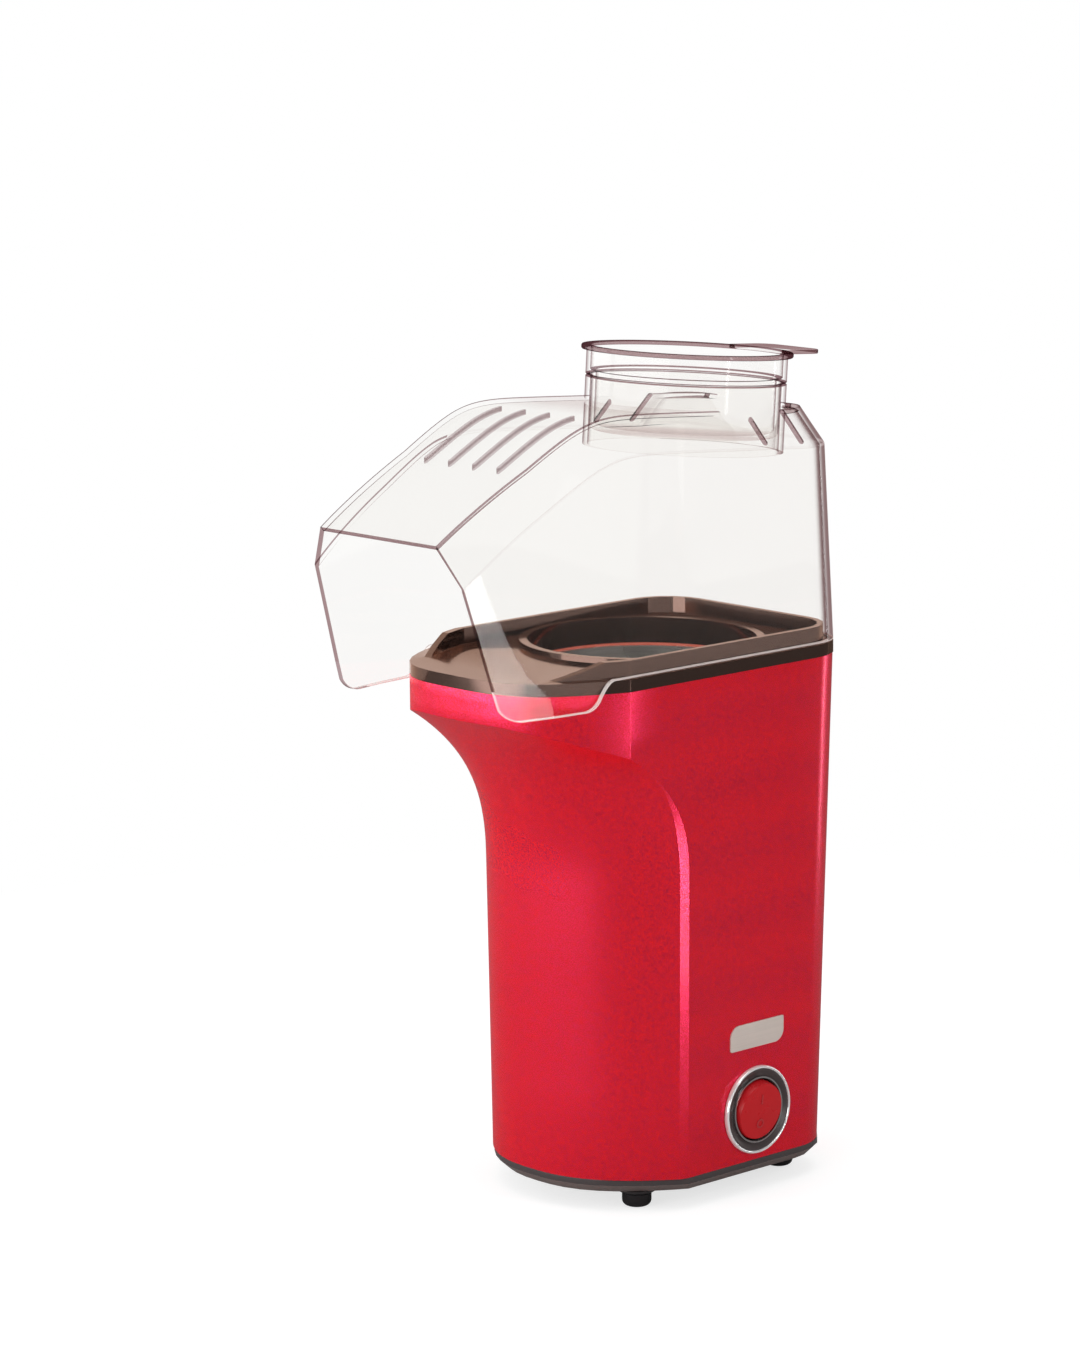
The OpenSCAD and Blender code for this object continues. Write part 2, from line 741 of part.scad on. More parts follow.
module motor_end_cap() {
    color([0.9, 0.88, 0.8]) difference() {
        union() {
            rod(motor_r, can_top, can_top + cap_rim_h);
            rod(cap_screw_x + 3.5, can_top + cap_rim_h - 0.1, duct_bottom);
            tube(magnet_out - 0.1, magnet_out - 1.6, can_top - 3, can_top + 0.5);
            pair(brush_out + holder_t / 2, 0)
                translate([-holder_t / 2, -2, brush_low - 0.5]) cube([holder_t, 4, can_top - brush_low + 1]);
        }
        rod(bearing_r + 0.02, can_top - 5, duct_bottom + 1);
        pair(cap_screw_x, 0) rod(screw_r + fit_gap, can_top - 1, duct_bottom + 1);
    }
}

brush_out = 8;
brush_w = 3;
brush_gap = 0.3;         // between the brushes and the commutator
brush_low = armature_high + 1.5;
holder_t = 3;
module motor_brushes() {
    color([0.15, 0.15, 0.16]) for (s = [0, 1]) rotate([0, 0, 180 * s])
        translate([commutator_r + brush_gap, -brush_w / 2, brush_low])
            cube([brush_out - commutator_r - brush_gap, brush_w, brush_w]);
}

module motor_bearings() {
    color([0.75, 0.6, 0.35]) for (z = [can_low - can_nose, duct_bottom - bearing_len])
        tube(bearing_r, shaft_r + shaft_clearance, z, z + bearing_len - (z < can_low ? 0.8 : 0));
}

module motor_screws() {
    head_z = duct_bottom + plate_h;
    color([0.6, 0.6, 0.62]) pair(cap_screw_x, 0)
        translate([0, 0, 2 * head_z]) mirror([0, 0, 1]) screw(head_z, plate_h + cap_h - 0.5);
}

// ---- Electrics on the base plate ----
board_z = base_top + 5;
board_y = -44;
board_w = 32;
board_d = 14;
board_t = 1.6;
post_r = 2;
module board_posts() {
    pair(board_w / 2 - 1.5 * post_r, board_y) rod(post_r, base_top - 1, board_z);
}

module rectifier_board() {
    color([0.35, 0.5, 0.25]) translate([-board_w / 2, board_y - board_d / 2, board_z])
        cube([board_w, board_d, board_t]);
}

module diodes() {
    diode_r = 1.35;
    diode_len = 5.2;
    color([0.1, 0.1, 0.1]) for (i = [-1.5 : 1 : 1.5])
        translate([i * 4 * diode_r, board_y - diode_len / 2, board_z + board_t + diode_r])
            rotate([-90, 0, 0]) cylinder(r = diode_r, h = diode_len);
}

// ---- Switch ----
pivot_x = panel_x - 1.2;
face_h = 4.2;            // height of the rocker's face above the pivot
skirt_h = 4;             // depth of the rocker below the pivot
stem_len = 4;            // peg under the rocker that works the contact
dish_x = panel_x + 0.15;
well_low = panel_x - 13;
body_low = well_low - 9;
terminal_len = 7;
terminal_w = 6.3;
terminal_t = 0.8;
terminal_z = 6;          // distance of the terminals above and below the switch's centre
ring_w = 1.3;
dish_h = 1.5;

module at_switch() {
    translate([0, switch_y, switch_z]) children();
}

module switch_well() {
    color([0.16, 0.13, 0.13]) at_switch() difference() {
        union() {
            tube_x(well_out, well_r, well_low, dish_x + 0.1);
            difference() {
                rod_x(switch_r - ring_w - 0.02, dish_x, dish_x + dish_h);
                translate([dish_x + 0.5, 0, 0]) rotate([0, 90, 0])
                    cylinder(r1 = well_r + 0.8, r2 = switch_r - ring_w - 0.2, h = dish_h - 0.4);
                rod_x(well_r, dish_x - 1, dish_x + 3);
            }
        }
        translate([pivot_x, 0, 0]) rotate([90, 0, 0])
            cylinder(r = pin_r + pin_clearance, h = 2 * well_out + 2, center = true);
    }
}

module chrome_ring() {
    color([0.85, 0.85, 0.87]) at_switch() translate([dish_x, 0, 0]) rotate([0, 90, 0])
        rotate_extrude() polygon([
            [switch_r - ring_w, 0], [switch_r, 0], [switch_r, dish_h - 0.3], [switch_r - 0.35, dish_h + 0.4],
            [switch_r - ring_w + 0.35, dish_h + 0.4], [switch_r - ring_w, dish_h - 0.3]]);
}

module inner_ring() {
    color([0.85, 0.85, 0.87]) at_switch()
        tube_x(well_r + 0.75, well_r + 0.1, dish_x + 0.5, dish_x + dish_h);
}

module switch_body() {
    color([0.1, 0.1, 0.1]) at_switch() rod_x(well_out, body_low, well_low);
}

module switch_terminals() {
    color([0.8, 0.7, 0.45]) at_switch() for (z = [-terminal_z, terminal_z])
        translate([body_low - terminal_len, -terminal_w / 2, z - terminal_t / 2])
            cube([terminal_len, terminal_w, terminal_t]);
}

// Tilts about the pivot pin; at rest its lower half is pressed in, which is off
module tilted() {
    at_switch() translate([pivot_x, 0, 0]) rotate([0, rocker_tilt / 2, 0]) children();
}

mark_t = 0.25;
module rocker() {
    color([0.8, 0.12, 0.16]) tilted() {
        difference() {
            intersection() {
                sphere(r = rocker_r, $fn = 96);
                translate([-skirt_h, -rocker_r, -rocker_r])
                    cube([skirt_h + face_h, 2 * rocker_r, 2 * rocker_r]);
            }
            rotate([90, 0, 0]) cylinder(r = pin_r + 0.01, h = 4 * rocker_r, center = true);
        }
        rod_x(2, -skirt_h - stem_len, -skirt_h + 0.1);
    }
}

module rocker_marks() {
    color([0.65, 0.08, 0.12]) tilted() {
        translate([face_h, -0.4, 3.2]) cube([mark_t, 0.8, 4]);
        translate([0, 0, -5.2]) tube_x(2, 1.3, face_h, face_h + mark_t);
    }
}

module rocker_pin() {
    color([0.7, 0.7, 0.72]) tilted() rotate([90, 0, 0])
        cylinder(r = pin_r, h = 2 * (well_out - 0.8), center = true);
}

// ---- Badge, cord inlet and wires ----
// Two opposite corners are fully rounded, the other two only eased.
module badge_plate() {
    round_r = badge_h / 2 - 0.2;
    corner = round_r + 1;
    t = 0.5;
    color([0.75, 0.73, 0.72])
        translate([half_at(badge_z + badge_h / 2) + 0.02, switch_y, badge_z]) rotate([90, 0, 90])
            linear_extrude(t) {
                rounded(badge_w, badge_h, round_r);
                for (s = [-1, 1]) translate([s * (badge_w - corner) / 2, s * (badge_h - corner) / 2])
                    rounded(corner, corner, 0.8);
            }
}

bush_r = 5.2;
bush_flange = 2.2;
bush_len = 8;            // how far the bushing reaches into the housing
bush_y = rear_at(cord_z + bush_r + bush_flange) + 0.1;
module cord_bushing() {
    color([0.08, 0.08, 0.08]) translate([0, 0, cord_z]) rotate([-90, 0, 0]) difference() {
        union() {
            rod(bush_r, bush_y - bush_len, bush_y + 1);
            rod(bush_r + bush_flange, bush_y, bush_y + 2.4);
            rod(bush_r + 1.4, bush_y - bush_len, bush_y - bush_len / 2);
        }
        rod(cord_bore_r, bush_y - bush_len - 1, bush_y + 4);
    }
}

// Insulated wire along a route, as one tube of eight sides
module wire(route, r) {
    sides = 8;
    m = len(route);
    way = [for (i = [0 : m - 1]) route[min(i + 1, m - 1)] - route[max(i - 1, 0)]];
    points = [for (i = [0 : m - 1]) let (
        u = cross(way[i], [0, 0, 1]) / norm(cross(way[i], [0, 0, 1])),
        v = cross(u, way[i]) / norm(way[i])
    ) for (k = [0 : sides - 1]) route[i] + r * (u * cos(360 * k / sides) + v * sin(360 * k / sides))];
    faces = concat(
        [[for (k = [sides - 1 : -1 : 0]) k]],
        [[for (k = [0 : sides - 1]) (m - 1) * sides + k]],
        [for (i = [0 : m - 2]) for (k = [0 : sides - 1])
            [i * sides + k, i * sides + (k + 1) % sides, (i + 1) * sides + k]],
        [for (i = [0 : m - 2]) for (k = [0 : sides - 1])
            [i * sides + (k + 1) % sides, (i + 1) * sides + (k + 1) % sides, (i + 1) * sides + k]]);
    polyhedron(points, faces, convexity = 6);
}

module lead_wires() {
    wire_r = 1.1;
    half_w = terminal_w / 2;
    tip_x = body_low - terminal_len - wire_r - 0.02;
    end_y = bush_y - bush_len - wire_r;
    low_z = switch_z - terminal_z;
    high_z = switch_z + terminal_z;
    board_end_y = board_y + board_d / 2 - 2;
    board_end_z = board_z + board_t + wire_r + 0.05;
    color([0.85, 0.85, 0.8]) {
        wire([[tip_x, switch_y - half_w, high_z], [tip_x, switch_y + 3 * half_w, high_z + 1],
            [tip_x - 3, leg_rear + half_w, high_z + 1], [tip_x / 2, end_y - 4 * half_w, high_z - 5],
            [2, end_y - 2, cord_z + 1], [0, end_y, cord_z]], wire_r);
        wire([[tip_x, switch_y + half_w, low_z], [tip_x, switch_y - 3 * half_w, low_z - 1],
            [tip_x - 4, leg_front + 2, low_z - 5], [tip_x * 0.65, leg_front - 12, board_end_z + 2],
            [board_w / 2 - 2, board_end_y, board_end_z], [4, board_end_y, board_end_z]], wire_r);
    }
}

// ---- Hood and measuring cup ----
hood_rest = band_top + 0.3;
tongue_low = hood_rest - tongue_drop;
hood_half = half_high - hood_inset;
hood_back = rear_high - hood_inset;
back_lean = 2;           // how far the back wall leans in up to the side crease
back_chamfer = 4;        // and from there up to the top crease
hood_corner_r = 20;
mouth_tilt = 0.3;        // how far the mouth's edge leans, per millimetre of height
top_corner_share = 0.6;  // the top crease's corners are rounder by this share
foot_flare = 0.9;        // how much wider the walls are at the tongues' lower edge
bend_soft = 5;           // how softly the sloping top turns level

function mix(a, b, t) = a + (b - a) * t;
// Height of the top crease at y: the lower of the level top and the chute's slope, blended
function top_z(y) = let (
    level = -hood_fall * (y + bend_y - 12) / (hood_back + bend_y - 12),
    slant = (y + bend_y) * (hood_high + 2 - mouth_z) / (mouth_y - bend_y) + 2
) hood_high - bend_soft * ln(exp(-level / bend_soft) + exp(-slant / bend_soft));
function mouth_edge_y(z) = -mouth_y + mouth_tilt * (mouth_z - z);
// 0 behind the upright wall's end, 1 at the mouth
function to_mouth(y) = max(0, (-y - upstand_front) / (mouth_y - upstand_front));

// Half section at station y inside a wall of thickness d: foot, side crease, top crease
function section(y, d) = let (
    s = to_mouth(y),
    z = top_z(y)
) [
    [mix(hood_half, side_half_mouth + 3, s) + foot_flare - d, tongue_low - 1 - (d > 0 ? 1 : 0)],
    [mix(side_half_back, side_half_mouth, s) - d, z - mix(crease_drop, mouth_drop, s) - d * 0.4],
    [mix(top_half_back, top_half_mouth, s) - d * 0.45, z - d]];

// The deck's upright wall stands clear inside the hood's side and back walls, which lean inwards
function up_wall(z) = let (q = section(0, hood_wall)) (z - q[0][1]) / (q[1][1] - q[0][1]);
function inner_x(z) = let (q = section(0, hood_wall)) mix(q[0][0], q[1][0], up_wall(z));
function inner_back(z) = hood_back - hood_wall - back_lean * up_wall(z);
upstand_in = max(half_high - inner_x(upstand_top), rear_high - inner_back(upstand_top))
    + hood_clearance;

// Points of one ring from the right foot over the top to the left foot
function whole_ring(q) = concat(q, [for (i = [2 : -1 : 0]) [-q[i][0], q[i][1], q[i][2]]]);
function chute_ring(y, d, tilt = 0) =
    whole_ring([for (p = section(y, d)) [p[0], y + tilt * (mouth_z - p[1]), p[1]]]);
function corner_ring(t, d) = let (
    r = hood_corner_r - d,
    y = hood_back - d - r,
    q = section(y, d),
    cut = r * (1 - cos(t)),
    step = r * sin(t)
) whole_ring([
    [q[0][0] - cut, y + step, q[0][1]],
    [q[1][0] - cut, y + step - back_lean * sin(t), q[1][1]],
    [q[2][0] - cut * top_corner_share, y + step - (back_lean + back_chamfer) * sin(t), q[2][1]]]);
function hood_rings(d) = concat(
    [chute_ring(-mouth_y - (d > 0 ? 4 : 0), d, mouth_tilt)],
    [for (i = [-3 : 3]) chute_ring(-bend_y + i * 4 - 4, d)],
    [for (t = [0 : 22.5 : 90]) corner_ring(t, d)]);

// Closed skin over a row of rings. The last one, the back wall, is flat below and above the crease.
module skin(rings) {
    n = len(rings[0]);
    m = len(rings);
    faces = concat(
        [[for (i = [n - 1 : -1 : 0]) i]],
        [for (back = [[0, 1, 4, 5], [1, 2, 3, 4]]) [for (i = back) (m - 1) * n + i]],
        [for (k = [0 : m - 2]) for (i = [0 : n - 1])
            [k * n + i, k * n + (i + 1) % n, (k + 1) * n + i]],
        [for (k = [0 : m - 2]) for (i = [0 : n - 1])
            [k * n + (i + 1) % n, (k + 1) * n + (i + 1) % n, (k + 1) * n + i]]);
    polyhedron([for (r = rings) for (p = r) p], faces, convexity = 8);
}

// Everything below the hood's lower edge: level on the deck, with a rounded tongue in front
tongue_back = -upstand_front - 7;
tongue_front_r = 13;
tongue_back_r = 9;
module below_edge() {
    front_y = mouth_edge_y(tongue_low + tongue_front_r) + tongue_front_r;
    rotate([90, 0, 90]) linear_extrude(2 * half_high + 20, center = true) polygon(concat(
        [[hood_back + 20, tongue_low - 9], [hood_back + 20, hood_rest], [tongue_back + 3, hood_rest]],
        [for (t = [0 : 15 : 90]) [tongue_back - tongue_back_r * (1 - cos(t)),
            tongue_low + tongue_back_r * (1 - sin(t))]],
        [for (t = [0 : 15 : 90]) [front_y - tongue_front_r * sin(t),
            tongue_low + tongue_front_r * (1 - cos(t))]],
        [[-mouth_y - 20, tongue_low + tongue_front_r], [-mouth_y - 20, tongue_low - 9]]));
}

neck_foot = hood_high - hood_fall;
neck_tilt = atan(hood_fall / (hood_back + bend_y - 12));
neck_top = neck_foot + neck_h;
cup_seat_gap = 0.3;      // between the neck's rim and the cup's shoulder
cup_top = neck_top + cup_stand;

// Places children on the neck's axis, which stands square on the hood's sloping top
module on_neck() {
    translate([0, neck_y, neck_foot]) rotate([-neck_tilt, 0, 0]) translate([0, 0, -neck_foot]) children();
}

steam_w = 1.6;
steam_low = 36;          // how far the steam slots run down the chute from the bend
steam_back = 5;          // and how far back beyond it
// Two tapered ribs on each shoulder, from the neck down the sloping facet
rib_stations = [21.3, 42];
rib_rise = 1.2;
rib_root_r = 2.5;
rib_tip_r = 1.2;
module shoulder_ribs() {
    q = section(0, 0);
    slope = atan((q[2][1] - q[1][1]) / (q[1][0] - q[2][0]));
    length = (q[1][0] - q[2][0]) / cos(slope);
    first = 3;
    last = length - 4;
    for (s = [0, 1], y = rib_stations) mirror([s, 0, 0])
        translate([q[2][0], y, top_z(y)]) rotate([0, slope, 0]) translate([0, 0, -hood_wall / 2])
            linear_extrude(rib_rise + hood_wall / 2) {
                translate([first, 0]) circle(r = rib_root_r);
                translate([last, 0]) circle(r = rib_tip_r);
                polygon([[first, -rib_root_r], [last, -rib_tip_r], [last, rib_tip_r], [first, rib_root_r]]);
            }
}

module hood() {
    neck_root = neck_foot - crease_drop + 1;
    color([0.9, 0.92, 0.94, 0.35]) difference() {
        union() {
            skin(hood_rings(0));
            on_neck() rod(cup_r, neck_root, neck_top);
            shoulder_ribs();
        }
        skin(hood_rings(hood_wall));
        below_edge();
        on_neck() rod(cup_r - hood_wall, neck_root - 1, neck_top + 1);
        for (i = [0 : steam_slots - 1])
            translate([(i - (steam_slots - 1) / 2) * steam_pitch - steam_w / 2, -bend_y - steam_low,
                hood_high - steam_low]) cube([steam_w, steam_low + steam_back, 2 * steam_low]);
    }
}

module measuring_cup() {
    shoulder = neck_top + cup_seat_gap;
    low_r = cup_r - hood_wall - cup_clearance;
    floor_z = cup_top - cup_depth;
    tab_reach = cup_r + flange_w + tab_len;
    tab_corner_r = 7;
    color([0.92, 0.93, 0.95, 0.35]) on_neck() {
        difference() {
            union() {
                rod(low_r, floor_z - cup_wall, shoulder + 1);
                rod(cup_r, shoulder, cup_top);
                rod(cup_r + flange_w, cup_top - cup_wall, cup_top);
                translate([0, tab_reach / 2, cup_top - cup_wall]) linear_extrude(cup_wall)
                    rounded(tab_w, tab_reach, tab_corner_r);
            }
            rod(low_r - cup_wall, floor_z, shoulder + 5);
            rod(cup_r - cup_wall, shoulder + cup_wall, cup_top + 1);
        }
    }
}

body_shell();
base_plate();
feet();
base_screws();
duct_screws();
top_deck();
deck_screws();
hood();
measuring_cup();
popping_chamber();
chamber_seal();
air_jacket();
heater_base();
mica_frame();
heating_coil();
thermostat();
thermostat_bracket();
thermal_fuse();
fan_housing();
fan_wheel();
motor_shaft();
armature();
commutator();
motor_can();
motor_magnets();
motor_end_cap();
motor_brushes();
motor_bearings();
motor_screws();
rectifier_board();
diodes();
switch_well();
switch_body();
switch_terminals();
chrome_ring();
inner_ring();
rocker();
rocker_marks();
rocker_pin();
badge_plate();
cord_bushing();
lead_wires();
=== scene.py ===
import math
import bpy
from mathutils import Matrix, Vector


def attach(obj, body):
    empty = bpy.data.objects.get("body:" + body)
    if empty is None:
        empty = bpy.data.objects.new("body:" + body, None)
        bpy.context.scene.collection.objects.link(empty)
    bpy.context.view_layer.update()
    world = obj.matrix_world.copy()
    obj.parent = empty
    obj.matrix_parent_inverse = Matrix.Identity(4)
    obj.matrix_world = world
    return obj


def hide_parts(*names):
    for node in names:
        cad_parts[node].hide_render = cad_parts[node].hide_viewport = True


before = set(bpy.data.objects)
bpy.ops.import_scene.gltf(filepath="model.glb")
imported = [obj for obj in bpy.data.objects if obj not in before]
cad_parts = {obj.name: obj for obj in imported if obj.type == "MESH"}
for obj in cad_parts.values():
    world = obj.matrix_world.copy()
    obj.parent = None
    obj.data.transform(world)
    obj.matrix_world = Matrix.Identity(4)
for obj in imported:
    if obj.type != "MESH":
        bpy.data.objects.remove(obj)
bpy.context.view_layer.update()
bpy.ops.object.select_all(action="DESELECT")
mm = 0.001

# ---- Camera ----
# A long lens stands to the right of the chute, a little above the hood and slightly rolled.
# It takes in the whole machine, with white all round.
eye = Vector((1334.5, -1289.0, 559.4)) * mm
swing, height, roll = math.radians(47.28), math.radians(10.69), math.radians(-0.454)
back = Vector((math.sin(swing) * math.cos(height), -math.cos(swing) * math.cos(height), math.sin(height)))
side = Vector((math.cos(swing), math.sin(swing), 0))
over = back.cross(side)
across = side * math.cos(roll) + over * math.sin(roll)
upward = over * math.cos(roll) - side * math.sin(roll)
lens = bpy.data.cameras.new("product_camera")
lens.lens = 123.477
lens.sensor_width = 36
lens.clip_end = 100
camera = bpy.data.objects.new("product_camera", lens)
camera.matrix_world = Matrix((across, upward, back)).transposed().to_4x4()
camera.location = eye
bpy.context.scene.collection.objects.link(camera)
bpy.context.scene.camera = camera
bpy.context.scene.view_settings.view_transform = "Standard"


# ---- Studio ----
# Soft boxes stand in front, to the left, above and behind, and two slim strip lights draw
# lines along the housing's edges. The sweep and the room are white where the lens sees them.
def soft_box(name, place, aim, width, tall, watts, tint=(1, 1, 1)):
    lamp = bpy.data.lights.new(name, "AREA")
    lamp.shape = "RECTANGLE"
    lamp.size, lamp.size_y, lamp.energy, lamp.color = width, tall, watts, tint
    stand = bpy.data.objects.new(name, lamp)
    stand.location = place
    stand.rotation_euler = (Vector(aim) - Vector(place)).to_track_quat("-Z", "Y").to_euler()
    stand.visible_camera = stand.visible_transmission = False
    bpy.context.scene.collection.objects.link(stand)


soft_box("box_front", (-0.17, -1.07, 0.25), (0, 0, 0.22), 1.55, 0.50, 10)
soft_box("box_left", (-1.9, -0.5, 0.50), (0, 0, 0.15), 1.8, 1.0, 23)
soft_box("strip_right", (0.40, 0.032, 0.175), (0.055, -0.035, 0.175), 0.027, 0.35, 0.50)
soft_box("strip_rear", (0.19, 0.63, 0.175), (0.04, 0.04, 0.175), 0.05, 0.35, 0.45)
soft_box("box_above", (0.2, -0.2, 2.4), (0, 0, 0.2), 1.6, 1.6, 14)
soft_box("box_back", (-2.2, 2.0, 0.98), (0, 0, 0.25), 2.4, 1.45, 14, tint=(1, 0.84, 0.76))


def put(tree, kind, settings=None, **links):
    """Adds a node, sets its properties, and links or sets its inputs by name or number."""
    node = tree.nodes.new(kind)
    for key, value in (settings or {}).items():
        setattr(node, key, value)
    for key, value in links.items():
        socket = node.inputs[int(key[1:])] if key[0] == "_" else node.inputs[key.replace("_", " ")]
        if isinstance(value, bpy.types.NodeSocket):
            tree.links.new(value, socket)
        else:
            socket.default_value = value
    return node


def ramp(tree, value, low, high, at_low, at_high, **settings):
    """Runs from at_low to at_high as the value goes from low to high, and stays there beyond."""
    return put(tree, "ShaderNodeMapRange", settings, Value=value, _1=low, _2=high, _3=at_low,
               _4=at_high).outputs[0]


def seen_directly(tree):
    """1 where a ray arrives straight from the lens or through clear plastic, otherwise 0."""
    path = put(tree, "ShaderNodeLightPath")
    return put(tree, "ShaderNodeMath", {"operation": "MAXIMUM"}, _0=path.outputs["Is Camera Ray"],
               _1=path.outputs["Is Transmission Ray"]).outputs[0]


sky = bpy.data.worlds.new("studio")
sky.use_nodes = True
bpy.context.scene.world = sky
room = sky.node_tree
room.nodes.clear()
# Gloss sees a dim room, as between black flags, so that the soft boxes draw clear highlights.
gloss_ray = put(room, "ShaderNodeLightPath").outputs["Is Glossy Ray"]
room_light = put(room, "ShaderNodeBackground", Color=(1, 1, 1, 1),
                 Strength=ramp(room, gloss_ray, 0.0, 1.0, 0.47, 0.08))
white_wall = put(room, "ShaderNodeBackground", Color=(1, 1, 1, 1), Strength=1.0)
either_wall = put(room, "ShaderNodeMixShader", _0=seen_directly(room), _1=room_light.outputs[0],
                  _2=white_wall.outputs[0])
put(room, "ShaderNodeOutputWorld", Surface=either_wall.outputs[0])

bpy.ops.mesh.primitive_plane_add(size=30, location=(0, 0, -0.0001))
sweep = bpy.context.object
sweep.name = "sweep"
paper = bpy.data.materials.new("white_paper")
paper.use_nodes = True
sheet = paper.node_tree
sheet.nodes.clear()
gloss_ray = put(sheet, "ShaderNodeLightPath").outputs["Is Glossy Ray"]
# Seen in reflections, the paper is painted dark grey: painted shade, like the dim room that gloss sees.
matte = put(sheet, "ShaderNodeBsdfDiffuse", Color=ramp(sheet, gloss_ray, 0.0, 1.0, 0.82, 0.2))
# Away from the machine the sweep fades into the white background. Close by, half of it is the
# shaded paper and half a glow, which is brighter there to make up for the shade.
fade_from, fade_to = 0.25, 0.6
spread = put(sheet, "ShaderNodeTexCoord").outputs["Object"]
reach = put(sheet, "ShaderNodeVectorMath", {"operation": "LENGTH"}, _0=spread).outputs["Value"]
glow = put(sheet, "ShaderNodeEmission", Strength=ramp(sheet, reach, fade_from, fade_to, 1.4, 1.0))
lifted = put(sheet, "ShaderNodeMixShader", _0=ramp(sheet, reach, fade_from, fade_to, 0.5, 1.0),
             _1=matte.outputs[0], _2=glow.outputs[0])
shown = put(sheet, "ShaderNodeMixShader", _0=seen_directly(sheet), _1=matte.outputs[0],
            _2=lifted.outputs[0])
put(sheet, "ShaderNodeOutputMaterial", Surface=shown.outputs[0])
sweep.data.materials.append(paper)


# ---- Housing ----
# The red body is one injection moulding with flat side panels, a chamfer along each panel's
# front edge, a bowed front that sweeps out to the chute's lip, and round rear corners.
# Its paint is a satin red with fine metal flake.
shell_low, shell_high, shell_wall = 13.6, 217.5, 2.4
half_low, half_gain = 54.6, 1.2
rear_low, rear_gain, rear_round, corner_kink = 61.6, 7.2, 22.0, math.radians(8)
panel_front, front_bulge, front_lean, bow = -27.8, 36.2, 0.024, 2.5
cove_low, cove_tall = 135, 72
panel_sweep, panel_curl = 66, 2.8
front_sweep, front_curl = 37, 2.6
chamfer, chamfer_turn, chamfer_fades, chamfer_run = 4.1, math.radians(17), 152, 37
lip_root, lip_reach, lip_bow = -60.1, 42.7, 3.7
lip_crease_side, lip_crease_top = 190.8, 207.4
switch_hole, switch_place = 15.95, (40, 10.7, 34.8)
cord_hole, cord_place = 5.25, (0, 45, 28)


def half_at(z):
    return half_low + half_gain * (z - shell_low) / (shell_high - shell_low)


def rear_at(z):
    return rear_low + rear_gain * (z - shell_low) / (shell_high - shell_low)


def cove(z):
    return max(0.0, z - cove_low) / cove_tall


def panel_edge(z):
    return panel_front - panel_sweep * cove(z) ** panel_curl


def front_middle(z):
    return panel_front - front_bulge - front_lean * (z - shell_low) - front_sweep * cove(z) ** front_curl


def chamfer_width(z):
    t = min(1.0, max(0.0, (z - chamfer_fades) / chamfer_run))
    return chamfer * (1 - t * t * (3 - 2 * t))


def bowed(u, z):
    """Point of the bowed front at height z; u runs from one chamfer to the other."""
    w = chamfer_width(z)
    half = half_at(z) - w * math.sin(chamfer_turn)
    y = panel_edge(z) - w * math.cos(chamfer_turn)
    return u * half, y + (front_middle(z) - y) * (1 - abs(u) ** bow)


def lip_at(x, z):
    return lip_root - lip_reach * (1 - min(1.0, abs(x) / half_at(z)) ** lip_bow)


def crease_height(u):
    """Height at which the sweeping front meets the upright band of the lip."""
    low, high = 150.0, shell_high - 2
    for _ in range(40):
        z = (low + high) / 2
        x, y = bowed(u, z)
        low, high = (z, high) if y > lip_at(x, z) else (low, z)
    return low


def climb(crease):
    """Heights of a column's points, from the bottom rim to the crease and on to the top rim."""
    sweep_steps, band_steps = 26, 3
    heights = [shell_low, 50, 92, 120, cove_low]
    for i in range(1, sweep_steps + 1):
        heights.append(cove_low + (crease - cove_low) * (1 - (1 - i / sweep_steps) ** 1.5))
    return heights + [crease + (shell_high - crease) * i / band_steps for i in range(1, band_steps + 1)]


def housing_columns():
    """Columns of points round the housing, and the numbers of those that stay crisp."""
    fronts, panel_steps, corner_steps = 72, 5, 14
    columns, crisp = [], []
    for i in range(fronts + 1):
        u = math.sin(math.radians(-90 + 180 * i / fronts))
        if i in (0, fronts):
            crease = lip_crease_side
            crisp.append(len(columns))
        else:
            crease = min(crease_height(u), lip_crease_top)
        column = []
        for z in climb(crease):
            x, y = bowed(u, z)
            column.append((x, lip_at(x, z) if z >= crease else y, z))
        columns.append(column)
    radius = rear_round / (1 - math.sin(corner_kink))
    corner_sweep = math.pi / 2 - corner_kink
    steps = [("panel", i / panel_steps) for i in range(panel_steps + 1)]
    steps += [("corner", corner_kink + corner_sweep * i / corner_steps) for i in range(corner_steps + 1)]
    for hand in (1, -1):
        for kind, t in steps if hand > 0 else reversed(steps):
            column = []
            for z in climb(lip_crease_side):
                half, rear = half_at(z), rear_at(z)
                front = max(panel_edge(z), lip_root)
                if kind == "panel":
                    column.append((hand * half, front + (rear - rear_round - front) * t, z))
                else:
                    column.append((hand * (half + radius * (math.cos(t) - math.cos(corner_kink))),
                                   rear + radius * (math.sin(t) - 1), z))
            if (kind, t) in (("panel", 0.0), ("corner", corner_kink)):
                crisp.append(len(columns))
            columns.append(column)
    return columns, crisp


def sheet_of(name, columns, crisp=(), closed=True, bands=(), crisp_below=1000):
    """A grid primitive whose points are set to the columns' and whose ends are joined; bands
    gives a material number to the faces above each named row."""
    around = len(columns)
    columns = columns + [columns[0]] if closed else columns
    rows = len(columns[0])
    bpy.ops.object.select_all(action="DESELECT")
    bpy.ops.mesh.primitive_grid_add(x_subdivisions=rows - 1, y_subdivisions=len(columns) - 1)
    piece = bpy.context.object
    piece.name = piece.data.name = name
    piece.location = (0, 0, 0)
    bpy.ops.object.transform_apply(location=True, rotation=True, scale=True)
    flat = [c * mm for column in columns for point in column for c in point]
    piece.data.vertices.foreach_set("co", flat)
    for edge in piece.data.edges:
        a, b = edge.vertices
        low_down = piece.data.vertices[b].co.z <= crisp_below * mm
        if low_down and a // rows == b // rows and a // rows % around in crisp:
            edge.use_edge_sharp = True
    for row, number in dict(bands).items():
        for face in piece.data.polygons:
            if min(v % rows for v in face.vertices) == row:
                face.material_index = number
    join_up(0.01)
    return piece


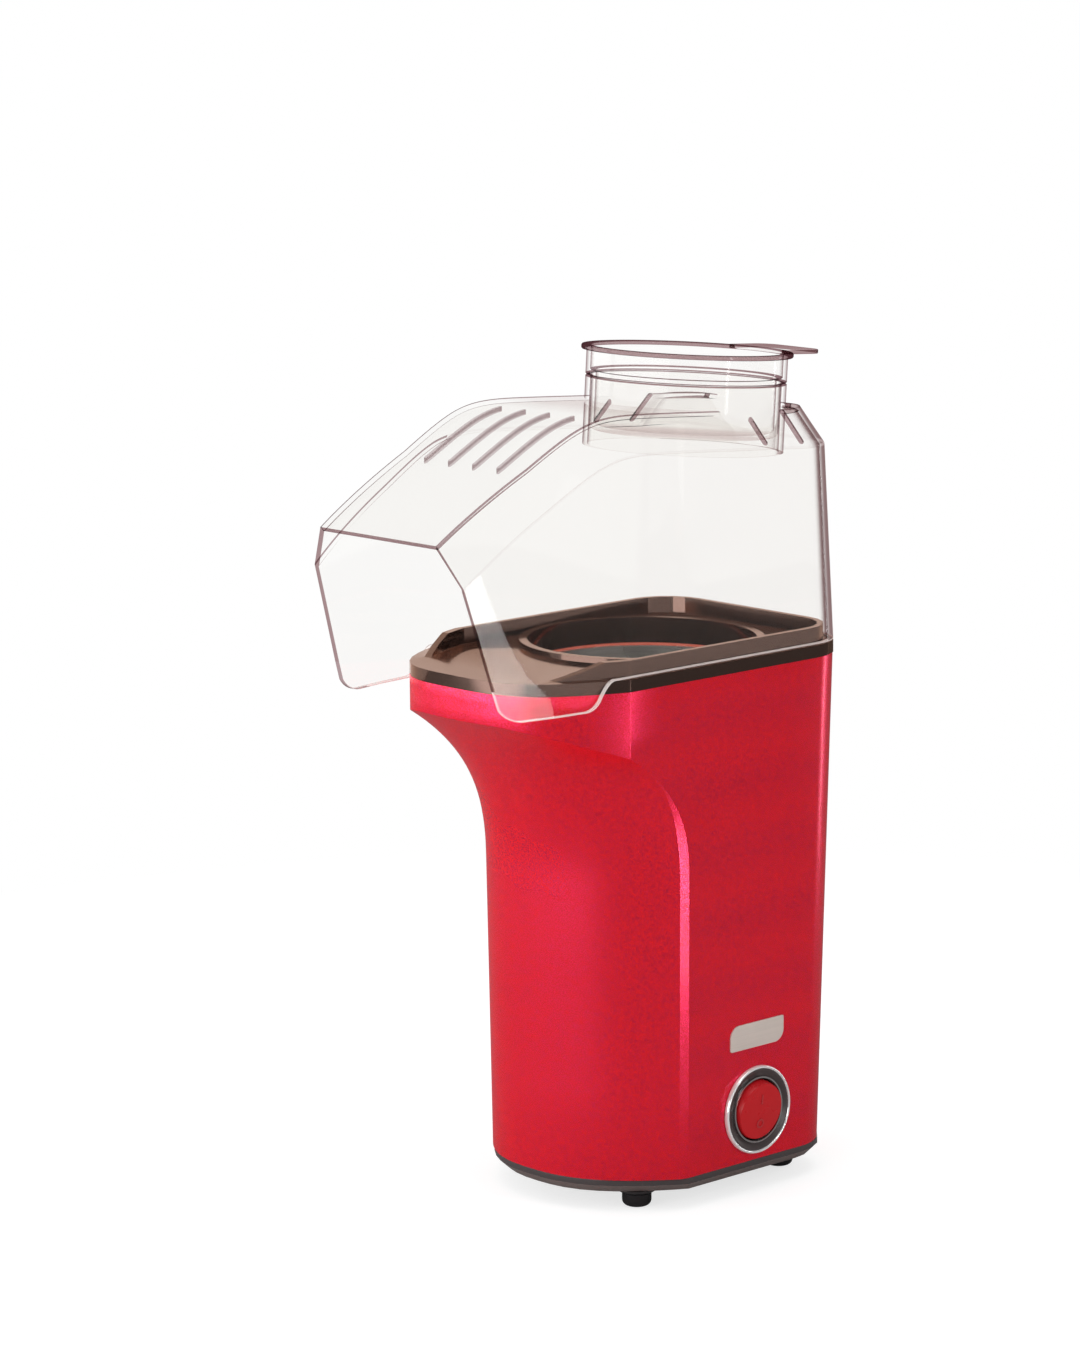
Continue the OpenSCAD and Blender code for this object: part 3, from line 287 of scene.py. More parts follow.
def join_up(reach):
    """Merges points closer than reach (in mm) on the active piece and turns its faces outwards."""
    bpy.ops.object.mode_set(mode="EDIT")
    bpy.ops.mesh.select_all(action="SELECT")
    bpy.ops.mesh.remove_doubles(threshold=reach * mm)
    bpy.ops.mesh.select_all(action="DESELECT")
    bpy.ops.object.mode_set(mode="OBJECT")
    mesh = bpy.context.object.data
    for face in mesh.polygons:
        face.select = face.area < 1e-4 * mm * mm
    pick_by("FACE")
    bpy.ops.mesh.delete(type="ONLY_FACE")
    bpy.ops.mesh.select_all(action="SELECT")
    bpy.ops.mesh.delete_loose(use_verts=True, use_edges=True, use_faces=False)
    bpy.ops.mesh.select_all(action="SELECT")
    bpy.ops.mesh.normals_make_consistent(inside=False)
    bpy.ops.object.mode_set(mode="OBJECT")
    bpy.context.tool_settings.mesh_select_mode = (True, False, False)


def pick_by(kind):
    """Goes into edit mode, where what is picked are points, edges or faces."""
    bpy.context.tool_settings.mesh_select_mode = [kind == k for k in ("VERT", "EDGE", "FACE")]
    bpy.ops.object.mode_set(mode="EDIT")


def take(piece):
    """Makes the piece the active one and the only one selected."""
    bpy.ops.object.select_all(action="DESELECT")
    bpy.context.view_layer.objects.active = piece
    piece.select_set(True)


def worked(piece, kind, **settings):
    """Adds a modifier to the piece, sets it and applies it."""
    take(piece)
    step = piece.modifiers.new(kind.lower(), kind)
    for key, value in settings.items():
        setattr(step, key, value)
    bpy.ops.object.modifier_apply(modifier=step.name)


def eased(piece, width, segments=3, angle=30, **more):
    """Rounds every edge sharper than the angle."""
    worked(piece, "BEVEL", width=width * mm, segments=segments, limit_method="ANGLE",
           angle_limit=math.radians(angle), use_clamp_overlap=True, **more)


def smooth(piece, angle=30):
    take(piece)
    bpy.ops.object.shade_smooth_by_angle(angle=math.radians(angle), keep_sharp_edges=True)


def placed(piece, matrix):
    """Moves the piece's mesh itself, so its object stays at the origin."""
    piece.data.transform(matrix)
    piece.data.update()
    return piece


def carved(piece, tool, operation="DIFFERENCE", edge_finish=None):
    """Cuts or joins with another solid, whose faces bring the given finish, then removes it."""
    if edge_finish is not None:
        while len(tool.data.materials) < len(piece.data.materials):
            tool.data.materials.append(piece.data.materials[len(tool.data.materials)])
        for face in tool.data.polygons:
            face.material_index = edge_finish
    worked(piece, "BOOLEAN", operation=operation, object=tool, solver="MANIFOLD")
    bpy.data.objects.remove(tool)


def drilled(piece, radius, start, axis, depth):
    """Cuts a round hole from start along the axis."""
    bpy.ops.object.select_all(action="DESELECT")
    axis = Vector(axis)
    middle = (Vector(start) + axis * depth / 2) * mm
    bpy.ops.mesh.primitive_cylinder_add(vertices=96, radius=radius * mm, depth=depth * mm, location=middle,
                                        rotation=axis.to_track_quat("Z", "Y").to_euler())
    carved(piece, bpy.context.object)


def effect(name, takes, gives):
    """A shader group with named inputs and outputs, and its two ends."""
    group = bpy.data.node_groups.new(name, "ShaderNodeTree")
    for label, kind, value in takes:
        socket = group.interface.new_socket(label, in_out="INPUT", socket_type="NodeSocket" + kind)
        socket.default_value = value
    for label, kind in gives:
        group.interface.new_socket(label, in_out="OUTPUT", socket_type="NodeSocket" + kind)
    return group, group.nodes.new("NodeGroupInput"), group.nodes.new("NodeGroupOutput")


def blend(tree, share, first, second):
    """Goes from the first colour to the second as the share goes from 0 to 1."""
    return put(tree, "ShaderNodeMix", {"data_type": "RGBA"}, _0=share, _6=first, _7=second).outputs[2]


def reckoned(tree, operation, *values):
    """Result of a Math node on two or three values."""
    return put(tree, "ShaderNodeMath", {"operation": operation},
               **{f"_{i}": value for i, value in enumerate(values)}).outputs[0]


# Moulded skin: fine grain, slow tone drift, hand-shine and rubbed, slightly paler edges.
moulded_skin, skin_in, skin_out = effect("moulded_skin", [
    ("Colour", "Color", (0.5, 0.5, 0.5, 1)), ("Rubbed", "Color", (0.6, 0.6, 0.6, 1)),
    ("Roughness", "Float", 0.4), ("Grain Scale", "Float", 900.0), ("Drift", "Float", 0.1)],
    [("Colour", "Color"), ("Roughness", "Float"), ("Height", "Float")])
where = put(moulded_skin, "ShaderNodeTexCoord").outputs["Object"]
grain = put(moulded_skin, "ShaderNodeTexNoise", Vector=where, Scale=skin_in.outputs["Grain Scale"],
            Detail=3.0).outputs["Fac"]
slow = put(moulded_skin, "ShaderNodeTexNoise", Vector=where, Scale=22.0, Detail=4.0,
           Roughness=0.6).outputs["Fac"]
drift = reckoned(moulded_skin, "MULTIPLY_ADD", slow, skin_in.outputs["Drift"], 1.0)
centred_drift = reckoned(moulded_skin, "MULTIPLY_ADD", skin_in.outputs["Drift"], -0.5, drift)
toned = put(moulded_skin, "ShaderNodeVectorMath", {"operation": "SCALE"}, _0=skin_in.outputs["Colour"],
            Scale=centred_drift).outputs[0]
sharpness = put(moulded_skin, "ShaderNodeNewGeometry").outputs["Pointiness"]
rubbed_share = ramp(moulded_skin, sharpness, 0.52, 0.62, 0.0, 0.6)
moulded_skin.links.new(blend(moulded_skin, rubbed_share, toned, skin_in.outputs["Rubbed"]),
                       skin_out.inputs["Colour"])
shine = ramp(moulded_skin, slow, 0.3, 0.7, 0.85, 1.2)
moulded_skin.links.new(reckoned(moulded_skin, "MULTIPLY", shine, skin_in.outputs["Roughness"]),
                       skin_out.inputs["Roughness"])
moulded_skin.links.new(grain, skin_out.inputs["Height"])


def finish_of(name):
    """A new material with a plain Principled shader, its node tree and that shader."""
    material = bpy.data.materials.new(name)
    material.use_nodes = True
    return material, material.node_tree, material.node_tree.nodes["Principled BSDF"]


def raised(tree, shader, height, distance):
    bump = put(tree, "ShaderNodeBump", Strength=1.0, Distance=distance * mm, Height=height)
    tree.links.new(bump.outputs[0], shader.inputs["Normal"])


def moulded(name, colour, roughness, rubbed=None, grain=900.0, depth=0.01, drift=0.1, **plain):
    """A moulded plastic or rubber with the skin above; other numbers go straight on the shader."""
    material, tree, shader = finish_of(name)
    skin = tree.nodes.new("ShaderNodeGroup")
    skin.node_tree = moulded_skin
    skin.inputs["Colour"].default_value = (*colour, 1)
    skin.inputs["Rubbed"].default_value = (*(rubbed or [min(1, c * 1.5 + 0.02) for c in colour]), 1)
    skin.inputs["Roughness"].default_value = roughness
    skin.inputs["Grain Scale"].default_value = grain
    skin.inputs["Drift"].default_value = drift
    tree.links.new(skin.outputs["Colour"], shader.inputs["Base Color"])
    tree.links.new(skin.outputs["Roughness"], shader.inputs["Roughness"])
    raised(tree, shader, skin.outputs["Height"], depth)
    for key, value in plain.items():
        shader.inputs[key.replace("_", " ")].default_value = value
    return material


def red_paint(name, colour, flake, roughness, share=0.4):
    """Satin metallic red: fine flakes of a cooler red lie in a plain red lacquer."""
    material, tree, shader = finish_of(name)
    where = put(tree, "ShaderNodeTexCoord").outputs["Object"]
    cells = put(tree, "ShaderNodeTexVoronoi", Vector=where, Scale=6000.0)
    chance = put(tree, "ShaderNodeSeparateColor", Color=cells.outputs["Color"])
    is_flake = ramp(tree, chance.outputs[0], share - 0.06, share + 0.06, 1.0, 0.0)
    tone = ramp(tree, chance.outputs[1], 0.0, 1.0, 0.85, 1.15)
    varied = put(tree, "ShaderNodeVectorMath", {"operation": "SCALE"}, Scale=tone,
                 _0=blend(tree, is_flake, (*colour, 1), (*flake, 1)))
    tree.links.new(varied.outputs[0], shader.inputs["Base Color"])
    tree.links.new(is_flake, shader.inputs["Metallic"])
    cloud = put(tree, "ShaderNodeTexNoise", Vector=where, Scale=9.0, Detail=3.0).outputs["Fac"]
    gloss = ramp(tree, cloud, 0.3, 0.7, roughness * 0.92, roughness * 1.1)
    tree.links.new(gloss, shader.inputs["Roughness"])
    orange_peel = put(tree, "ShaderNodeTexNoise", Vector=where, Scale=420.0, Detail=1.0)
    raised(tree, shader, orange_peel.outputs["Fac"], 0.0015)
    shader.inputs["Specular IOR Level"].default_value = 0.1
    shader.inputs["Coat Weight"].default_value = 0.06
    shader.inputs["Coat Roughness"].default_value = 0.1
    return material


body_red = red_paint("satin_red_paint", (0.62, 0.008, 0.010), (0.88, 0.045, 0.160), 0.29)
shell_columns, crisp_columns = housing_columns()
housing = sheet_of("housing", shell_columns, crisp_columns, crisp_below=lip_crease_side + 1)
housing.data.materials.append(body_red)
worked(housing, "SOLIDIFY", thickness=shell_wall * mm, offset=-1, use_even_offset=True,
       use_quality_normals=True)
drilled(housing, switch_hole, switch_place, (1, 0, 0), 25)
drilled(housing, cord_hole, cord_place, (0, 1, 0), 30)
eased(housing, 0.8, angle=35)
smooth(housing)
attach(housing, "machine")
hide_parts("body_shell")


# ---- Base plate and feet ----
# A black moulding closes the housing from below; its lower edge is chamfered all round.
# Four rubber feet are pushed into it from below, and a rubber bushing guides the cord.
def dress(material, *nodes):
    """Gives CAD nodes, which stay as they are, their finish."""
    for name in nodes:
        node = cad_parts[name]
        for slot in node.material_slots:
            slot.material = material


def refined(node, finish, body, round_off=0.4, angle=30, flat_first=True):
    """A merged copy of the CAD piece with eased edges, which takes its place."""
    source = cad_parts[node]
    piece = bpy.data.objects.new(node + "_fine", source.data.copy())
    bpy.context.scene.collection.objects.link(piece)
    placed(piece, source.matrix_world)
    piece.data.materials.clear()
    piece.data.materials.append(finish)
    take(piece)
    join_up(0.005)
    if flat_first:
        pick_by("FACE")
        bpy.ops.mesh.select_all(action="SELECT")
        bpy.ops.mesh.dissolve_limited(angle_limit=math.radians(0.6))
        bpy.ops.object.mode_set(mode="OBJECT")
    eased(piece, round_off, segments=3, angle=angle)
    smooth(piece, angle)
    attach(piece, body)
    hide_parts(node)
    return piece


base_black = moulded("base_plastic", (0.045, 0.038, 0.038), 0.2, grain=700, depth=0.004)
# The lower chamfer gets a paler copy of the black plastic: painted sheen.
chamfer_painted_sheen = moulded("base_chamfer", (0.13, 0.100, 0.094), 0.3, grain=700, depth=0.006)
foot_rubber = moulded("foot_rubber", (0.012, 0.010, 0.011), 0.2, grain=500, depth=0.006)
base = refined("base_plate", base_black, "machine", round_off=0.35, angle=25)
base.data.materials.append(chamfer_painted_sheen)
lower_chamfer_top = 11.4
# Faces of the lower chamfer take the paler painted-sheen finish.
for face in base.data.polygons:
    if -0.85 < face.normal.z < -0.3 and face.center.z < lower_chamfer_top * mm:
        face.material_index = 1
dress(foot_rubber, "feet", "cord_bushing")


# ---- Deck ----
# A glossy black moulding snaps onto the housing's top rim. Its band shows all round,
# the chute floor is flat with a bead round the opening, and upright walls locate the hood.
# Its colour is set brown-black and mostly metal-like, so its sheen turns brown: a painted reflection,
# strongest at a flat angle, as on the chute floor.
# A brown base at Metallic 0.85 with a brown Specular Tint paints the brown reflection into the sheen.
deck_black = moulded("deck_painted_brown_sheen", (0.11, 0.068, 0.056), 0.09, grain=1500, depth=0.0004, Metallic=0.85,
                     Specular_Tint=(1.0, 0.72, 0.60, 1))
refined("top_deck", deck_black, "machine", round_off=0.5, angle=16)


# ---- Hood ----
# Clear polycarbonate, moulded in one piece: a roof that bends down over the chute, leaning
# walls with tongues in front, and a round neck for the cup. Its edges gather light and read
# as thin mauve-brown lines, painted here as tinted edge and crease faces and as painted shade at
# grazing angles; its walls are nearly invisible.
hood_front, hood_rear, hood_corner, hood_wall = -141, 67.4, 20, 2
foot_half, foot_flare, foot_level = 54.4, 0.9, 210.8
side_half, roof_half, shoulder_drop, shoulder_long = 50.5, 37, 14, 19
roof_top, roof_ease, narrows_from = 324, 5, -66
rear_fall, rear_falls_from = 8.5, -50
chute_fall, chute_falls_from = 44, -62
tongue_low, tongue_front, front_bend = 211.8, -110.84, 13
tongue_rear, rear_bend, bend_end, bend_high = -82, 9, -74, 216.68
deck_line = 222.8
fold = 0.6
slot_count, slot_pitch, slot_wide, slot_long, slot_y = 4, 14.1, 1.6, 41, -77.5
rib_places, rib_start = (21.3, 42), 0.5
rib_long, rib_wide, rib_thick, rib_taper = 17.5, 5, 2.2, 0.48
neck_in, neck_out, neck_low, neck_top, neck_lean = 39, 41, 300, 328.2, math.radians(-4.141)
neck_y, neck_level = 24.5, 315.5
mouth_run, mouth_tilt, mouth_pivot = 45, 0.3, 282
in_face, in_edge, in_wall, in_lip, in_fold, in_faint_fold, in_neck, in_slot = range(8)


def between(a, b, t):
    return tuple(p + (q - p) * t for p, q in zip(a, b))


def roof_z(y):
    """The roof falls a little towards the rear and steeply over the chute, with a soft bend."""
    level = -rear_fall * (y - rear_falls_from) / (hood_rear - rear_falls_from)
    slant = (y - chute_falls_from) * chute_fall / (chute_falls_from - hood_front) + 2
    return roof_top - roof_ease * math.log(math.exp(-level / roof_ease) + math.exp(-slant / roof_ease))


def hood_section(y, d):
    """Foot, side crease and roof crease of the hood at station y, d inside its outer face."""
    s = max(0.0, (narrows_from - y) / (narrows_from - hood_front))
    z = roof_z(y)
    return [(foot_half - 7.4 * s + foot_flare - d, foot_level),
            (side_half - 6.5 * s - d, z - shoulder_drop - 2.5 * s - 0.4 * d),
            (roof_half - 2.8 * s - 0.45 * d, z - d)]


def lower_edge(y):
    """Height of the hood's lower edge: level on the deck, with a rounded tongue in front."""
    if y < tongue_front:
        return tongue_low + front_bend - math.sqrt(max(0.0, front_bend ** 2 - (y - tongue_front) ** 2))
    if y < tongue_rear:
        return tongue_low
    if y < bend_end:
        return tongue_low + rear_bend - math.sqrt(rear_bend ** 2 - (y - tongue_rear) ** 2)
    t = min(1.0, (y - bend_end) / 7)
    return bend_high + (deck_line - bend_high) * math.sin(t * math.pi / 2)


def wall_and_roof(foot, crease, top, low, solid):
    """One column of points: up the wall from its lower edge, over the shoulder to the ridge."""
    tall = crease[2] - low
    steps = [0, 0.5 / tall] + [i / 12 for i in range(1, 12)] + [1 - fold / tall, 1]
    points = [between(foot, crease, (low + tall * t - foot[2]) / (crease[2] - foot[2])) for t in steps]
    near = fold / shoulder_long
    points += [between(crease, top, t) for t in (near, 0.25, 0.5, 0.75, 1 - near, 1)]
    ridge = (0.0, top[1], top[2])
    points += [between(top, ridge, t) for t in (fold / roof_half, *[i / 8 for i in range(1, 9)])]
    under = (0.0, min(points[0][1], points[0][1] * 0.9), points[0][2])
    return [under] + points if solid else points


def hood_half(d=0, solid=False):
    """Columns of points over the right half, from the mouth along the side and round the back."""
    columns, stations = [], []
    for i in range(20):
        share = (i / 20) ** 1.6
        stations.append((hood_front + mouth_run * share, mouth_tilt * (1 - share)))
    # Behind the mouth they stand upright, closest where the tongue bends up to the deck.
    rear_step = (hood_rear - hood_corner + 36) / 8
    for start, step, count in ((-96, 4, 3), (-85, 2, 1), (-83, 1, 17), (-64, 2, 13), (-36, rear_step, 9)):
        stations += [(start + step * i, 0.0) for i in range(count)]
    for y, tilt in stations:
        foot, crease, top = [(x, y + tilt * (mouth_pivot - z), z) for x, z in hood_section(y, d)]
        low = 230.0
        for _ in range(30):
            low = 0.5 * low + 0.5 * lower_edge(y + tilt * (mouth_pivot - low))
        columns.append(wall_and_roof(foot, crease, top, low, solid))
    radius = hood_corner - d
    y = hood_rear - d - radius
    foot, crease, top = hood_section(y, d)
    for i in range(1, 13):
        turn = math.radians(7.5 * i)
        cut, step = radius * (1 - math.cos(turn)), radius * math.sin(turn)
        columns.append(wall_and_roof((foot[0] - cut, y + step, foot[1]),
                                     (crease[0] - cut, y + step - 2 * math.sin(turn), crease[1]),
                                     (top[0] - 0.6 * cut, y + step - 6 * math.sin(turn), top[1]),
                                     deck_line, solid))
    last = columns[-1]
    roof_row = len(last) - 10
    for i in range(1, 9):
        rear_wall = [(x * (1 - i / 8), y, z) for x, y, z in last]
        columns.append([p if k <= roof_row else rear_wall[roof_row] for k, p in enumerate(rear_wall)])
    if solid:
        columns.insert(0, [(0.0, -137.0, 250.0)] * len(columns[0]))
    return columns


def mirrored(piece):
    """Adds the left half, joins it on the centre plane and turns the faces outwards."""
    worked(piece, "MIRROR", use_axis=(True, False, False), use_mirror_merge=True,
           merge_threshold=0.01 * mm)
    join_up(0.01)
    top = max(piece.data.polygons, key=lambda face: face.center.z)
    if top.normal.z < 0:
        bpy.ops.object.mode_set(mode="EDIT")
        bpy.ops.mesh.select_all(action="SELECT")
        bpy.ops.mesh.flip_normals()
        bpy.ops.object.mode_set(mode="OBJECT")


def turned(name, outline, steps=128):
    """A point drawn out along the closed outline (radius, height) and spun round the Z axis."""
    bpy.ops.object.select_all(action="DESELECT")
    bpy.ops.mesh.primitive_plane_add(size=mm, location=(0, 0, 0))
    piece = bpy.context.object
    piece.name = piece.data.name = name
    pick_by("VERT")
    bpy.ops.mesh.select_all(action="SELECT")
    bpy.ops.mesh.merge(type="CENTER")
    spot = Vector((0, 0, 0))
    for i, (r, z) in enumerate(outline):
        goal = Vector((r, 0, z)) * mm
        if i == 0:
            bpy.ops.transform.translate(value=goal - spot)
        else:
            bpy.ops.mesh.extrude_region_move(TRANSFORM_OT_translate={"value": goal - spot})
        spot = goal
    bpy.ops.mesh.select_all(action="SELECT")
    bpy.ops.mesh.spin(steps=steps, angle=2 * math.pi, center=(0, 0, 0), axis=(0, 0, 1))
    bpy.ops.object.mode_set(mode="OBJECT")
    join_up(0.002)
    return piece


def core(radius, low=295, high=335):
    """A solid plug on the neck's axis, to cut away what stands inside the neck."""
    return placed(turned("core", [(0, low), (radius, low), (radius, high), (0, high)]), neck_tilt)


def block(middle, sizes):
    """A rectangular block, with its place and sizes in its mesh."""
    bpy.ops.object.select_all(action="DESELECT")
    bpy.ops.mesh.primitive_cube_add(size=1, location=[c * mm for c in middle],
                                    scale=[s * mm for s in sizes])
    bpy.ops.object.transform_apply(location=True, rotation=True, scale=True)
    return bpy.context.object


def clear_plastic(name, tint, graze_shade, from_angle, to_angle, through=1.0):
    """Clear moulded plastic that lets lamp light through; its colour is painted darker, towards the given
    edge colour, where it is seen flatter than from_angle, in degrees from square on: painted shade for the
    lines that refraction draws."""
    material, tree, shader = finish_of(name)
    shader.inputs["Transmission Weight"].default_value = through
    shader.inputs["IOR"].default_value = 1.0
    shader.inputs["Coat IOR"].default_value = 1.3
    shader.inputs["Roughness"].default_value = 0.0
    where = put(tree, "ShaderNodeTexCoord").outputs["Object"]
    haze = put(tree, "ShaderNodeTexNoise", Vector=where, Scale=30.0, Detail=4.0).outputs["Fac"]
    tree.links.new(ramp(tree, haze, 0.35, 0.7, 0.02, 0.05), shader.inputs["Coat Roughness"])
    facing = put(tree, "ShaderNodeLayerWeight", Blend=0.5).outputs["Facing"]
    tree.links.new(ramp(tree, facing, 0.35, 0.8, 0.5, 0.0), shader.inputs["Coat Weight"])
    hazed_tint = blend(tree, haze, (*[c * 0.985 for c in tint], 1), (*tint, 1))
    darkens, dark = (1 - math.cos(math.radians(angle)) for angle in (from_angle, to_angle))
    flatness = ramp(tree, facing, darkens, dark, 0.0, 1.0, interpolation_type="SMOOTHSTEP")
    tree.links.new(blend(tree, flatness, hazed_tint, (*graze_shade, 1)), shader.inputs["Base Color"])
    hollow = put(tree, "ShaderNodeBsdfTransparent", Color=(0.97, 0.96, 0.96, 1))
    pass_light = put(tree, "ShaderNodeMixShader", _1=shader.outputs[0], _2=hollow.outputs[0],
                     _0=put(tree, "ShaderNodeLightPath").outputs["Is Shadow Ray"])
    tree.links.new(pass_light.outputs[0], tree.nodes["Material Output"].inputs["Surface"])
    return material


# Apart from the faces' faint tint, these colours are painted: dark mauve lines on edges, folds, slots,
# walls and neck stand in for refraction's shade, and the half-opaque pale lip is a painted highlight.
clear_finishes = [
    clear_plastic("clear_face", (0.975, 0.968, 0.955), (0.62, 0.50, 0.50), 82, 89),
    clear_plastic("clear_edge", (0.16, 0.075, 0.08), (0.06, 0.02, 0.025), 40, 88),
    clear_plastic("clear_wall", (0.965, 0.955, 0.945), (0.26, 0.17, 0.17), 54, 72),
    clear_plastic("clear_lip", (0.80, 0.73, 0.71), (0.80, 0.73, 0.71), 60, 80, through=0.5),
    clear_plastic("clear_fold", (0.20, 0.11, 0.12), (0.08, 0.04, 0.04), 50, 85),
    clear_plastic("faint_fold", (0.90, 0.87, 0.86), (0.6, 0.5, 0.5), 60, 88),
    clear_plastic("clear_neck", (0.985, 0.980, 0.972), (0.34, 0.24, 0.25), 72, 86),
    clear_plastic("clear_slot", (0.42, 0.33, 0.34), (0.25, 0.18, 0.19), 50, 85)]


def made_clear(piece):
    """Gives the piece all the clear finishes, in the order that their numbers follow."""
    for finish in clear_finishes:
        piece.data.materials.append(finish)
    return piece


neck_foot = Vector((0, neck_y, neck_level)) * mm
neck_tilt = Matrix.Translation(neck_foot) @ Matrix.Rotation(neck_lean, 4, "X") \
    @ Matrix.Translation(Vector((0, 0, -neck_level)) * mm)
neck_axis = (neck_tilt.to_3x3() @ Vector((0, 0, 1))).normalized()

# Painted lines: the side crease rows are faintly tinted, the roof crease rows dark, and the lower rim row
# pale as a painted highlight.
fold_bands = {0: in_lip, 13: in_faint_fold, 14: in_faint_fold, 19: in_fold, 20: in_fold}
hood = made_clear(sheet_of("hood_clear", hood_half(), closed=False, bands=fold_bands))
mirrored(hood)
worked(hood, "SOLIDIFY", thickness=hood_wall * mm, offset=-1, use_even_offset=True)
eased(hood, 0.5, segments=2, angle=60, material=in_edge)
# The mouth's rim is painted dark and the lower edge pale: painted shade and a painted highlight
# where the clear edges darken and gather light. On the far side, in front, edge and crease are painted
# dark too.
for face in hood.data.polygons:
    middle, facing_way = face.center, face.normal
    low_down, in_front = middle.z < 240 * mm, middle.y < -90 * mm
    if in_front and (facing_way.y < -0.8 or low_down and facing_way.y < -0.3):
        face.material_index = in_edge
    if low_down and facing_way.z < -0.3:
        face.material_index = in_fold if middle.x < 0 and middle.y < -104 * mm else in_lip
    if face.material_index == in_faint_fold and middle.x < 0 and middle.y < -60 * mm:
        face.material_index = in_fold
trimmer = sheet_of("trimmer", hood_half(1, solid=True), closed=False)
mirrored(trimmer)
neck = turned("neck", [(neck_in, neck_low), (neck_out, neck_low), (neck_out, neck_top - 0.5),
                       (neck_out - 0.5, neck_top), (neck_in, neck_top), (neck_in, neck_low)])
placed(neck, neck_tilt)
carved(hood, core((neck_in + neck_out) / 2), edge_finish=in_face)
# The slots' walls take a mauve tint: painted lines where their edges darken in the clear plastic.
for i in range(slot_count):
    across_x = (i - (slot_count - 1) / 2) * slot_pitch
    slot_tool = block((across_x, slot_y, 324), (slot_wide, slot_long, 72))
    worked(slot_tool, "BEVEL", width=0.75 * mm, segments=3, limit_method="ANGLE")
    carved(hood, slot_tool, edge_finish=in_slot)
carved(neck, trimmer)
carved(hood, neck, "UNION", edge_finish=in_face)
# Tapered ribs run from the neck down the shoulders' sloping facets; their faces take the faint painted
# crease line.
shoulder_slope = math.atan2(shoulder_drop, side_half - roof_half)
rib_middle = rib_start + rib_long / 2
for hand in (1, -1):
    for y in rib_places:
        rib = block((rib_middle, 0, 0.1), (rib_long, rib_wide, rib_thick))
        for point in rib.data.vertices:
            point.select = point.co.x > rib_middle * mm
        pick_by("VERT")
        bpy.ops.transform.resize(value=(1, rib_taper, 1), center_override=(0, 0, 0))
        bpy.ops.object.mode_set(mode="OBJECT")
        eased(rib, 1.0, segments=4, angle=40)
        on_crease = Matrix.Translation(Vector((roof_half, y, roof_z(y))) * mm)
        down_slope = Matrix.Rotation(shoulder_slope, 4, "Y")
        placed(rib, Matrix.Scale(hand, 4, (1, 0, 0)) @ on_crease @ down_slope)
        if hand < 0:
            rib.data.flip_normals()
        carved(rib, core(neck_in + 0.5))
        carved(hood, made_clear(rib), "UNION", edge_finish=in_faint_fold)
# The neck's wall, its rim and the hood's rear walls have finishes of their own: painted shade at grazing
# angles, and a painted dark line on the rim.
for face in hood.data.polygons:
    spot = Vector(face.center) - neck_foot
    along = spot.dot(neck_axis)
    on_neck = (neck_in - 0.5) * mm < (spot - neck_axis * along).length < (neck_out + 0.5) * mm
    if on_neck and along > -9 * mm and abs(face.normal.dot(neck_axis)) < 0.1:
        face.material_index = in_neck
    elif on_neck and along > 11.5 * mm:
        face.material_index = in_edge
    elif face.material_index == in_face and face.center.y > 44 * mm:
        face.material_index = in_wall
smooth(hood, 24)
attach(hood, "hood")
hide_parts("hood")


# ---- Measuring cup ----
# A clear moulded cup: its shoulder sits on the neck, its flange and thumb tab stand out at
# the rim. It lifts out of the neck to measure the kernels.
cup_out, cup_in, cup_low, cup_floor = 38.6, 36.8, 306.3, 308.1
shoulder_out, shoulder_in, shoulder_low, shoulder_floor = 41, 39.2, 328.5, 330.3
flange_out, flange_low, cup_rim = 43.2, 338.8, 340.6
tab_wide, tab_long, tab_thick, tab_middle, tab_round = 34, 22.2, 1.8, (0, 52.1, 339.7), 7
cup = made_clear(turned("cup_clear", [
    (0, cup_low), (cup_out - 1.7, cup_low), (cup_out - 0.5, cup_low + 0.5), (cup_out, cup_low + 1.7),
    (cup_out, shoulder_low), (shoulder_out - 0.4, shoulder_low), (shoulder_out, shoulder_low + 0.4),
    (shoulder_out, flange_low), (flange_out - 0.3, flange_low), (flange_out, flange_low + 0.4),
    (flange_out, cup_rim - 0.4), (flange_out - 0.3, cup_rim), (shoulder_in + 0.4, cup_rim),
    (shoulder_in, cup_rim - 0.4), (shoulder_in, shoulder_floor + 0.3), (shoulder_in - 0.3, shoulder_floor),
    (cup_in + 0.2, shoulder_floor), (cup_in, shoulder_floor - 0.3), (cup_in, cup_floor + 1.1),
    (cup_in - 0.5, cup_floor + 0.3), (cup_in - 1.3, cup_floor), (0, cup_floor)]))
tab = made_clear(block(tab_middle, (tab_wide, tab_long, tab_thick)))
pick_by("EDGE")
bpy.ops.mesh.select_all(action="DESELECT")
bpy.ops.object.mode_set(mode="OBJECT")
for edge in tab.data.edges:
    ends = [tab.data.vertices[v].co for v in edge.vertices]
    edge.select = abs(ends[0].z - ends[1].z) > 1 * mm and ends[0].y > 60 * mm
pick_by("EDGE")
bpy.ops.mesh.bevel(offset=tab_round * mm, segments=12)
bpy.ops.object.mode_set(mode="OBJECT")
eased(tab, 0.4, angle=50)
# The tab's sides take the dark painted edge line.
for face in tab.data.polygons:
    face.material_index = in_face if abs(face.normal.z) > 0.9 else in_edge
carved(cup, tab, "UNION")
# The cup's walls take the neck's painted grazing shade, and its flange and shoulder ring take the dark
# painted edge line.
for face in cup.data.polygons:
    if face.material_index != in_face:
        continue
    out, up = math.hypot(face.center.x, face.center.y) / mm, face.center.z / mm
    if abs(face.normal.z) < 0.3 and out < shoulder_out + 0.3:
        face.material_index = in_neck
    elif shoulder_in - 0.4 < out < flange_out + 0.3 and up > flange_low - 0.1:
        face.material_index = in_edge
    elif cup_in - 0.8 < out < shoulder_out + 0.2 and shoulder_low - 1.5 < up < shoulder_floor + 0.7:
        face.material_index = in_edge
placed(cup, neck_tilt)
smooth(cup)
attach(cup, "cup")
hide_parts("measuring_cup")


